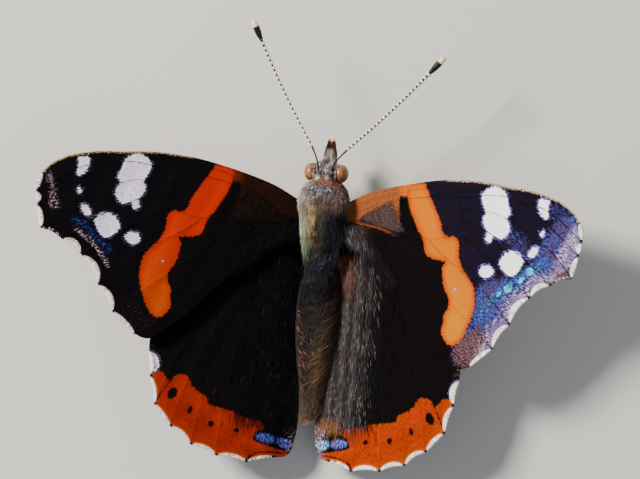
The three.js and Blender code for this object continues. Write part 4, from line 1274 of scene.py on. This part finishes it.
# %% Legs
SOLE = FLOOR + 0.16
FORELEG_RADII = {"thigh": (0.24, 0.3, 0.2), "shin": (0.18, 0.22, 0.16), "foot": (0.15, 0.15, 0.1)}
WALKING_RADII = {"hip": (0.5, 0.42, 0.3), "thigh": (0.26, 0.36, 0.34, 0.26),
                 "shin": (0.24, 0.25, 0.22, 0.2), "foot": (0.17, 0.16, 0.15, 0.13)}
SPINES = 26
LEGS = {
    "foreleg": {
        "thigh": [(0.8, 0, -0.9), (0.88, 0.25, -1.6), (0.95, 0.5, -2.1)],
        "shin": [(0.95, 0.5, -2.1), (1.05, 1.3, -2.55), (1.1, 2.0, -2.75)],
        "foot": [(1.1, 2.0, -2.75), (1.05, 2.6, -2.45), (0.95, 3.0, -1.8)],
    },
    "midleg": {
        "hip": [(0.9, -2.3, -1.0), (1.3, -2.3, -1.9), (1.7, -2.35, -2.7)],
        "thigh": [(1.6, -2.35, -2.75), (2.6, -2.2, -2.75), (4.1, -1.5, -2.2), (5.6, -0.85, -1.8)],
        "shin": [(5.5, -0.9, -1.8), (6.2, -0.55, -2.2), (7.0, -0.1, -4.2), (7.95, 0.52, SOLE + 0.15)],
        "foot": [(7.9, 0.48, SOLE + 0.12), (8.5, 0.77, SOLE), (9.2, 1.05, SOLE), (10.3, 1.46, SOLE)],
    },
    "hindleg": {
        "hip": [(0.8, -5.0, -1.1), (1.1, -5.1, -2.0), (1.5, -5.2, -2.85)],
        "thigh": [(1.4, -5.2, -2.9), (2.2, -5.7, -3.0), (3.6, -6.9, -2.75), (4.9, -8.0, -2.5)],
        "shin": [(4.8, -7.9, -2.5), (5.4, -8.6, -2.9), (6.1, -10.5, -4.4), (6.9, -12.8, SOLE + 0.15)],
        "foot": [(6.88, -12.7, SOLE + 0.12), (7.05, -13.4, SOLE), (7.5, -15, SOLE), (8.0, -17.1, SOLE)],
    },
}
FOOT_JOINTS = (0, 0.38, 0.58, 0.74, 0.87, 1.0)


def mirrored(points, side):
    return np.array(points, float) * (side, 1, 1)


def add_spines(bm, line, reach, lean):
    """Two rows of fine spines on the lower side of a line."""
    way = line[-1] - line[0]
    way = way / np.linalg.norm(way)
    outward = np.cross(way, (0, 0, 1))
    outward = outward / np.linalg.norm(outward)
    for k in range(SPINES):
        spot = line[int((k + 0.5) / SPINES * (len(line) - 1))]
        hand = 1 if k % 2 else -1
        tip = spot + reach * (way * lean + outward * hand * 0.8 - (0, 0, 0.12))
        rod(bm, [spot, (spot + tip) / 2, tip], (0.035, 0.03, 0.012), rings=4, around=5)


def leg(kind, side):
    bm = bmesh.new()
    plan = LEGS[kind]
    walks = kind != "foreleg"
    radii = WALKING_RADII if walks else FORELEG_RADII
    for part in ("hip", "thigh", "shin"):
        if part in plan:
            rod(bm, mirrored(plan[part], side), radii[part], rings=26, around=14)
    foot = smooth_line(mirrored(plan["foot"], side), 101)
    foot_shares = np.linspace(0, 1, len(radii["foot"]))
    for start, end in zip(FOOT_JOINTS[:-1], FOOT_JOINTS[1:]):
        piece = foot[int(start * 100): int(end * 100) + 1]
        radius = np.interp((start + end) / 2, foot_shares, radii["foot"])
        path = [*piece[:: max(1, len(piece) // 6)], piece[-1]]
        rod(bm, path, (radius * 0.8, radius, radius), rings=10, around=12)
    if walks:
        add_spines(bm, smooth_line(mirrored(plan["shin"], side), 60)[12:], 0.42, 0.7)
        add_spines(bm, foot[6:], 0.3, 0.8)
        last = foot[-1]
        way = (last - foot[-8]) / np.linalg.norm(last - foot[-8])
        outward = np.cross(way, (0, 0, 1))
        for hand in (-1, 1):
            middle = last + way * 0.2 + outward * hand * 0.12 + (0, 0, 0.06)
            end = last + way * 0.36 + outward * hand * 0.16 - (0, 0, 0.1)
            rod(bm, [last, middle, end], (0.05, 0.04, 0.015), rings=8, around=6)
    name = kind + "_" + SIDE_NAMES[side]
    rod_object(name + "_joints", bm, leg_finish, "leg", name)


leg_finish = plain_finish("leg", (70, 52, 36), (140, 112, 80), 5000.0, 0.5, 0.35)
for side in (LEFT, RIGHT):
    for kind in LEGS:
        leg(kind, side)

# %% [markdown]
# Hair as mesh
#
# Particle hair would be lost in the export, so each hair is a real solid: three corners at its
# root and twice along it, and one tip. It bends by having its middle corners off the straight
# line. Thousands of them are joined from arrays into one mesh, as no operator makes so many at
# once. Each hair keeps a small patch of the bake map at its root's own place on the skin.


# %% Hair helper
HAIR_STEPS = np.array([0.0, 0.36, 0.72, 1.0])
HAIR_THICKNESS = np.array([0.8, 1.0, 0.62])
HAIR_PATCH = 0.003  # the size of a hair's patch of the bake map


def hair_object(name, spines, normals, widths, colours, spots, finish, tip_light):
    """Joins hairs from their spines (count, 4, 3), all in insect millimetres."""
    count = len(spines)
    way = unit(spines[:, 3] - spines[:, 0])
    broad = np.cross(way, normals)
    broad /= np.linalg.norm(broad, axis=1)[:, None] + 1e-9
    tall = np.cross(broad, way)
    ring = [(0.0, 0.75), (0.87, -0.3), (-0.87, -0.3)]
    points = np.empty((count, 10, 3))
    for level in range(3):
        size = (widths * HAIR_THICKNESS[level] / 2)[:, None]
        for corner, (wide, high) in enumerate(ring):
            points[:, level * 3 + corner] = spines[:, level] + size * (broad * wide + tall * high)
    points[:, 9] = spines[:, 3]
    faces = [(0, 2, 1)]
    patches = [[(0, 0), (0, 0.1), (0.1, 0)]]
    for level in range(2):
        for k in range(3):
            a, b = level * 3 + k, level * 3 + (k + 1) % 3
            low, high = HAIR_STEPS[level], HAIR_STEPS[level + 1]
            faces.append((a, b, b + 3, a + 3))
            patches.append([(k / 3, low), ((k + 1) / 3, low), ((k + 1) / 3, high), (k / 3, high)])
    for k in range(3):
        faces.append((6 + k, 6 + (k + 1) % 3, 9))
        patches.append([(k / 3, HAIR_STEPS[2]), ((k + 1) / 3, HAIR_STEPS[2]), ((k + 0.5) / 3, 1)])
    order = np.array([v for face in faces for v in face])
    sizes = np.array([len(face) for face in faces])
    patch_places = np.array([c for face in patches for c in face]) * HAIR_PATCH
    loops = (order[None] + np.arange(count)[:, None] * 10).ravel()
    starts = (np.r_[0, np.cumsum(sizes)[:-1]][None] + np.arange(count)[:, None] * len(order)).ravel()
    mesh = bpy.data.meshes.new(name)
    mesh.vertices.add(count * 10)
    mesh.loops.add(len(loops))
    mesh.polygons.add(len(starts))
    mesh.vertices.foreach_set("co", to_world(points).ravel())
    mesh.loops.foreach_set("vertex_index", loops)
    mesh.polygons.foreach_set("loop_start", starts)
    mesh.update(calc_edges=True)
    mesh.shade_smooth()
    fade = np.array([0.75] * 3 + [1.0] * 3 + [tip_light] * 3 + [tip_light])
    store_colour(mesh, (colours[:, None] * fade[None, :, None]).reshape(-1, 3))
    places = 0.01 + 0.97 * np.clip(spots, 0, 1)[:, None] + patch_places[None]
    write_map(mesh, "OFBake", *places.reshape(-1, 2).T)
    mesh.materials.append(finish)
    made = new_object(name, mesh)
    print(name, count, "hairs")


def vary(count, low, high):
    return rng.uniform(low, high, count)


def tint(colours, spread=0.35):
    """The same colours, each a little lighter or darker."""
    return colours * np.exp(rng.normal(0, spread, len(colours)))[:, None]


# %% [markdown]
# Body hair
#
# The hair of the thorax is long and combed back; the collar's is short and dense; the waist's is
# the longest, and hides the pinch; the abdomen's is short and lies flat, a little longer on its
# flanks. Each region is one call that says where hair grows, how long it is, how much it stands
# off and how it strays.

# %% Body coat
hair_finish = coat_finish("hair", 0.5, 0.22)
wing_hair_finish = coat_finish("wing hair", 0.6, 0.06)


def body_hair(name, count, stations, angles, length, lift, stray, width, tip_light, spread, comb=1):
    """Hair on the skin, each hair up to spread lighter or darker.

    comb is 1 where the hair lies back and -1 where it points ahead.
    """
    ahead = vary(count, *stations)
    angle = np.radians(vary(count, *angles))
    turn = np.degrees(angle)
    root = body_point(ahead, angle)
    along = unit(body_point(ahead - 0.02, angle) - root)
    around = unit(body_point(ahead, angle + 0.01) - root)
    normal = unit(np.cross(around, along))
    outward = np.stack([np.cos(angle), 0 * angle, np.sin(angle)], -1)
    normal *= np.sign((normal * outward).sum(1))[:, None]
    reach = length(ahead, angle) * vary(count, 0.7, 1.15)
    wave = 0.35 * np.sin(ahead * 2.3 + turn * 0.11) + 0.25 * np.sin(ahead * 5.1 - turn * 0.07)
    swing = (wave + rng.normal(0, 1, count)) * stray
    way = unit(comb * along + around * swing[:, None])
    rise = np.radians(lift + rng.normal(0, 5, count))
    bend = vary(count, 0.25, 0.6)
    spines = np.empty((count, 4, 3))
    for k, t in enumerate(HAIR_STEPS):
        forward = (np.cos(rise) * t)[:, None] * way
        upward = (np.sin(rise) * (t - bend * t * t))[:, None] * normal
        curl = (0.16 * t * t * rng.normal(0, 1, count))[:, None] * around
        spines[:, k] = root - 0.05 * normal + reach[:, None] * (forward + upward + curl)
    colours = body_colour(ahead, angle)
    spots = np.stack([(angle / (2 * np.pi)) % 1.0, (ahead - TAIL) / (FOREHEAD - TAIL)], 1)
    hair_object(name, spines, normal, width * vary(count, 0.7, 1.3), tint(colours, spread), spots,
                hair_finish, tip_light)


def thorax_length(ahead, angle):
    long_at_rear = 0.7 * step(-ahead, 0.0, 4) + 0.5 * step(-ahead, 4.5, 7)
    return 0.8 + long_at_rear - 0.2 * step(-np.sin(angle), 0, 0.8)


def abdomen_length(ahead, angle):
    return 1.1 + (0.6 * np.abs(np.cos(angle)) - 0.4) * step(ahead, -24.5, -22)


def same(value):
    """A length that is the same everywhere."""
    return lambda ahead, angle: value + 0 * ahead


# name, hairs, stations, angles, length, lift, stray, width, light of the tips, spread of the shades
ALL_ROUND = (-90, 270)
body_hair("thorax_coat", 14500, (-8.0, 0.9), ALL_ROUND, thorax_length, 18, 0.24, 0.05, 1.35, 0.5)
body_hair("collar_coat", 4600, (-0.2, 2.1), ALL_ROUND, same(0.8), 42, 0.4, 0.055, 1.4, 0.7)
body_hair("waist_coat", 1500, (-9.6, -6.0), (10, 170), same(1.9), 13, 0.32, 0.055, 1.9, 0.6)
body_hair("abdomen_coat", 11000, (-25.1, -7.6), ALL_ROUND, abdomen_length, 15, 0.28, 0.058, 1.35, 0.45)

# %% [markdown]
# Hair of the head
#
# The head gets the finest hair. Short grey tufts stand on the forehead between the feelers, a
# red-brown band lies behind the eyes, pale scales ring each eye, and the face below is whiskery.

# %% Head coat
body_hair("head_coat", 3600, (1.9, 4.25), ALL_ROUND, same(0.48), 50, 0.55, 0.048, 1.4, 0.7)
body_hair("forehead_coat", 520, (3.0, 4.2), (15, 165), same(0.78), 42, 0.35, 0.05, 1.5, 0.4, comb=-1)


def palp_coat(side):
    """Scaly hair on a palp: grey above, maroon towards the tip and outside, pale at the very tip."""
    count = 1700
    line = smooth_line(palp_line(side), 101)
    share = rng.random(count) ** 0.9
    spot = (share * 100).astype(int)
    centre = line[spot]
    way = unit(np.gradient(line, axis=0)[spot])
    angle = vary(count, 0, 2 * np.pi)
    one = unit(np.cross(way, (0, 0, 1.0)))
    two = np.cross(one, way)
    normal = one * np.cos(angle)[:, None] + two * np.sin(angle)[:, None]
    radius = np.interp(share, (0, 0.2, 0.4, 0.7, 1), (0.3, 0.36, 0.36, 0.24, 0.1))
    root = centre + normal * (radius * 0.9)[:, None]
    reach = np.interp(share, (0, 0.5, 1), (0.6, 0.52, 0.34)) * vary(count, 0.7, 1.2)
    bends = [way * t + normal * (0.34 * t - 0.2 * t * t) for t in HAIR_STEPS]
    spines = np.stack([root + reach[:, None] * bend for bend in bends], 1)
    outside = np.cos(angle) * side
    maroon = np.maximum(step(share, 0.58, 0.72), step(outside, 0.35, 0.8) * step(share, 0.3, 0.45))
    colours = layered(
        (112, 112, 112),
        ((196, 180, 150), step(-outside, 0.1, 0.6)),
        ((66, 20, 28), maroon),
        ((168, 142, 136), 0.8 * step(-share, -0.42, -0.3)),
        ((206, 190, 128), step(share, 0.9, 0.95)),
    )
    spots = np.stack([angle / (2 * np.pi), share], 1)
    hair_object("palp_" + SIDE_NAMES[side] + "_coat", spines, normal, 0.06 * vary(count, 0.7, 1.3),
                tint(colours, 0.25), spots, hair_finish, 1.2)


def eye_lashes(side):
    """Pale scales that ring an eye."""
    count = 420
    turn = vary(count, 0, 2 * np.pi)
    centre = np.array([HEAD_LEAN + side * (EYE["side"] - 0.52), EYE["ahead"], EYE["up"]])
    rim = np.stack([0 * turn, 0.86 * np.cos(turn), 0.98 * np.sin(turn)], 1)
    root = centre + rim * vary(count, 0.85, 1.0)[:, None]
    out = unit(rim)
    way = unit(out * 0.75 + (side * 0.5, -0.45, 0.12) + rng.normal(0, 0.15, (count, 3)))
    reach = vary(count, 0.3, 0.55)
    spines = np.stack([root + reach[:, None] * way * t for t in HAIR_STEPS], 1)
    behind = step(-np.cos(turn), 0.2, 0.7) * step(np.sin(turn), -0.4, 0.4)
    colours = layered((176, 172, 166), ((60, 50, 50), rng.random(count) < 0.45), ((84, 46, 40), behind))
    spots = np.stack([turn / (2 * np.pi), 0.5 + 0.4 * rng.random(count)], 1)
    hair_object("eye_" + SIDE_NAMES[side] + "_lashes", spines, out, np.full(count, 0.055), tint(colours),
                spots, hair_finish, 1.2)


for side in (LEFT, RIGHT):
    palp_coat(side)
    eye_lashes(side)

# %% [markdown]
# Hair and fringe of the wings
#
# Long hair runs back over the inner hindwings, and more of it slants from their inner edges up
# over the flanks of the abdomen. Short hair covers the roots of the forewings, with a longer tuft
# over their trailing edges. All of it hugs the curved wing: each point of a hair is placed on the
# flat plan first and then lifted with the wing. The same helper makes the fringe between the vein
# ends.


# %% Wing hair helper
def wing_hair(name, wing, side, roots, ways, reach, heights, width, colours, tip_light, stray):
    """Hair on a wing, with its height over the wing at each of the four steps along it."""
    count = len(roots)
    turn = rng.normal(0, 1, count) * stray
    cos, sin = np.cos(turn), np.sin(turn)
    ways = np.stack([ways[:, 0] * cos - ways[:, 1] * sin, ways[:, 0] * sin + ways[:, 1] * cos], 1)
    aside = np.stack([-ways[:, 1], ways[:, 0]], 1) * rng.normal(0, 0.1, count)[:, None]
    spines = np.empty((count, 4, 3))
    for k, t in enumerate(HAIR_STEPS):
        flat = roots + reach[:, None] * (ways * t + aside * t * t)
        spines[:, k] = on_insect(wing, side, flat[:, 0], flat[:, 1], heights[:, k])
    lifted = on_insect(wing, side, roots[:, 0], roots[:, 1], heights[:, 0] + 0.1)
    normal = unit(lifted - spines[:, 0])
    spots = np.stack([(roots[:, 0] + 5) / 38, (roots[:, 1] + 34) / 40], 1)
    hair_object(name, spines, normal, width * vary(count, 0.75, 1.25), colours, spots,
                wing_hair_finish, tip_light)


def scatter(count, keep, low, high):
    """Random flat places in a box, kept with the chance that keep gives."""
    places = rng.uniform(low, high, (count, 2))
    return places[keep(places) > rng.random(count)]


# %% Hindwing hair
def inside_wing(wing, places, margin):
    lead, trail = smooth_line(wing["lead"], 40), smooth_line(wing["trail"], 40)
    return inside_distance(places, np.vstack([lead, margin_line(wing)[0], trail[::-1]])) > margin


def hindwing_hair(side):
    def keep(places):
        out, ahead = places.T
        dense = step(-out, -6.5, -0.5) * step(-ahead, 5, 8) * step(ahead, -27.6, -24.5)
        sparse = 0.05 * step(-out, -11, -7) * step(ahead, -24.5, -22)
        return np.maximum(dense, sparse) * inside_wing(HINDWING, places, 0.15)

    roots = scatter(24000, keep, (-2.6, -27.8), (11, -4.5))
    out, ahead = roots.T
    count = len(roots)
    ways = unit(np.stack([0.02 + 0.05 * out, -1 + 0 * out], 1))
    reach = vary(count, 0.8, 1.7)
    lift = vary(count, 0.02, 0.15)
    heights = lift[:, None] * (0, 0.7, 1, 0.8) + (0.03, 0.07, 0.08, 0.05)
    if side == RIGHT:
        # painted sheen: the right wing's hair catches the sun, grey-brown with blue-grey streaks where the
        # left stays near black; the tan and red-brown patches are its own colour
        edge = 2.4 + 0.5 * np.sin(ahead * 1.1) + rng.normal(0, 0.5, count)
        column = np.sin(out * 4.4 + 0.6 + 0.05 * ahead)
        inner = step(-out, -3.6, -2.8)
        colours = tint(layered(
            (70, 62, 62),
            ((26, 24, 26), step(out, edge, edge + 1.6)),
            ((78, 80, 84), 0.5 * step(column, 0.0, 0.7) * inner),
            ((40, 34, 34), 0.6 * step(-column, 0.1, 0.8) * inner),
            ((9, 8, 9), step(out, 4.4, 6.2)),
            ((150, 104, 60), 0.8 * step(-ahead, 24.4, 26) * step(-out, -1.4, -0.2)),
            ((104, 62, 48), 0.7 * step(ahead, -12, -9) * step(-out, -1.8, -0.6)),
        ), 0.4)
        # painted glints: pale specks
        colours[(rng.random(count) < 0.05) & (out < 4.5)] = paint(150, 132, 130)
    else:
        colours = tint(plain(count, (9, 9, 13)), 0.4)
        # painted glints: a few brown specks
        colours[rng.random(count) < 0.01] = paint(60, 50, 46)
    wing_hair("hindwing_" + SIDE_NAMES[side] + "_hair", HINDWING, side, roots, ways, reach, heights, 0.042,
              colours, 1.3, 0.06)


def inner_fringe(side):
    """Long hair from the folded inner edge of a hindwing, slanting up over the flank of the abdomen."""
    edge = smooth_line(HINDWING["trail"], 200)
    count = 2600 if side == RIGHT else 700
    spot = rng.integers(4, 150 if side == RIGHT else 128, count)
    share = spot / 200
    thin = 1 - 0.55 * step(share, 0.35, 0.75)  # the abdomen gets lower and narrower towards its tail
    if side == RIGHT:
        roots = edge[spot] + np.stack([vary(count, -0.1, 1.0), vary(count, -0.1, 0.1)], 1)
        inward = np.stack([-vary(count, 0.8, 1.1), -np.ones(count)], 1)
        reach = vary(count, 1.9, 3.1)
        lift = vary(count, 2.1, 2.8) * thin
        heights = lift[:, None] * (0.1, 0.62, 0.92, 1)
        colours = tint(layered((60, 48, 42), ((88, 70, 50), step(share, 0.25, 0.55))), 0.55)
    else:
        offset = vary(count, 0.1, 1.6)
        roots = edge[spot] - np.stack([offset, vary(count, -0.1, 0.1)], 1)
        inward = np.stack([-vary(count, 0.8, 1.2), -np.ones(count)], 1)
        reach = vary(count, 0.5, 1.2)
        lift = (1.7 + 0.5 * offset + vary(count, 0, 0.3)) * thin
        heights = lift[:, None] * (0.6, 0.82, 0.95, 1)
        colours = tint(plain(count, (26, 20, 20)), 0.3)
        bright = (rng.random(count) < 0.34) & (share > 0.22)
        colours[bright] = tint(plain(bright.sum(), (176, 116, 102)), 0.3)
    wing_hair("inner_fringe_" + SIDE_NAMES[side], HINDWING, side, roots, unit(inward), reach, heights, 0.046,
              colours, 1.35, 0.08)


# %% Forewing root hair
def forewing_hair(side):
    def keep(places):
        out, ahead = places.T
        near_root = step(-np.hypot(out * 0.9, (ahead + 3.9) * 0.7), -5.0, -0.8)
        in_cell = 0.5 * step(inside_distance(places, CELL), -0.3, 0.3)
        return np.maximum(near_root * step(-ahead, 2.3, 3.2), in_cell) * inside_wing(FOREWING, places, 0.3)

    roots = scatter(9000, keep, (-0.9, -11), (8, 1.0))
    out, ahead = roots.T
    count = len(roots)
    ways = unit(np.stack([0.9 + 0 * out, ahead * 0.22 - 0.15], 1))
    in_cell = ahead > -2.9
    reach = np.where(in_cell, vary(count, 0.25, 0.5), vary(count, 0.6, 1.4))
    lift = vary(count, 0.03, 0.16) * np.where(in_cell, 0.4, 1)
    heights = lift[:, None] * (0, 0.7, 1, 0.8) + (0.03, 0.06, 0.07, 0.05)
    if side == RIGHT:
        # painted sheen: grey-brown root hair on the right wing, where the left stays near black; the rusty
        # hairs are their own colour
        rusty = in_cell & (rng.random(count) < 0.2)
        colours = layered((60, 48, 46), ((20, 16, 16), step(out, 0.6, 3.0)), ((66, 52, 51), in_cell),
                          ((120, 72, 48), rusty))
    else:
        colours = layered((14, 11, 11), ((32, 20, 17), in_cell))
    wing_hair("forewing_" + SIDE_NAMES[side] + "_hair", FOREWING, side, roots, ways, reach, heights, 0.05,
              tint(colours, 0.4), 1.25, 0.08)


def root_tuft(side):
    """Long hair from the root of a forewing back over its trailing edge."""
    count = 1300
    edge = smooth_line(FOREWING["trail"], 200)
    share = rng.random(count) ** 1.5 * 0.42
    roots = edge[(share * 199).astype(int)] + np.stack([vary(count, -0.5, 0.9), vary(count, 0.1, 1.5)], 1)
    ways = unit(np.stack([vary(count, 0.2, 0.75), -np.ones(count)], 1))
    reach = vary(count, 1.1, 2.4) * (1.2 - 1.4 * share)
    lift = vary(count, 0.05, 0.3)
    heights = lift[:, None] * (0, 1, 1, 1) + (0.03, 0.1, 0.1, -0.15)
    if side == RIGHT:
        # painted sheen: the tuft is grey on the right wing and near black on the left
        colours = layered((92, 84, 88), ((24, 20, 21), step(share, 0.05, 0.25)),
                          ((30, 26, 28), rng.random(count) < 0.5))
    else:
        colours = plain(count, (11, 10, 12))
    wing_hair("root_tuft_" + SIDE_NAMES[side], FOREWING, side, roots, ways, reach, heights, 0.046,
              tint(colours, 0.4), 1.3, 0.1)


# %% White fringe
FRINGE_ROOT = 0.16  # how far the scales start inside the membrane's edge
FRINGE_GAP = 0.011
PALENESS = {"forewing": [0.75, 1, 1, 0.2, 1, 1, 1, 1], "hindwing": [1, 1, 0.9, 1, 1, 1, 0.85]}
# pale scale, short pale scale and dark scale, lighter on the right wing as painted sheen
FRINGE_SHADES = {LEFT: ((232, 222, 218), (168, 140, 138), (22, 13, 13)),
                 RIGHT: ((250, 246, 236), (214, 196, 190), (34, 18, 18))}


def fringe(word, wing, side):
    """Broad pale scales that fill the bays of the margin, and dark ones at its teeth."""
    outer, nearness = margin_line(wing)
    inner = margin_line(wing, side)[0]
    run = distances(outer)
    count = int(run[-1] / FRINGE_GAP)
    at = rng.uniform(0.1, run[-1] - 0.05, count)
    tips, starts = places_on(outer, run, at), places_on(inner, run, at)
    outward = unit(tips - starts)
    near = np.interp(at, run, nearness)
    bay = np.clip(np.searchsorted(run, at) // BAY_POINTS, 0, len(wing["bays"]) - 1)
    paleness = np.array(PALENESS[word])[bay]
    pale = step(near + rng.normal(0, 0.05, count), 0.16, 0.32) * (rng.random(count) < paleness)
    roots = starts - outward * FRINGE_ROOT
    layer = rng.random(count) < 0.35
    full = np.linalg.norm(tips - starts, axis=1) + FRINGE_ROOT
    reach = full * np.where(layer, vary(count, 0.45, 0.8), vary(count, 0.9, 1.03))
    white, root_shade, dark = FRINGE_SHADES[side]
    light = layered(white, (root_shade, 0.8 * layer))
    colours = blend(plain(count, dark), light, pale)
    height = rng.uniform(-0.03, 0.03, count) + np.where(layer, 0.03, 0)
    heights = height[:, None] * (1, 1.2, 1.2, 1)
    wing_hair(word + "_" + SIDE_NAMES[side] + "_fringe", wing, side, roots, outward, reach, heights, 0.13,
              tint(colours, 0.06 if side == RIGHT else 0.14), 1.0, 0.05)


for side in (LEFT, RIGHT):
    hindwing_hair(side)
    inner_fringe(side)
    forewing_hair(side)
    root_tuft(side)
    fringe("forewing", FOREWING, side)
    fringe("hindwing", HINDWING, side)
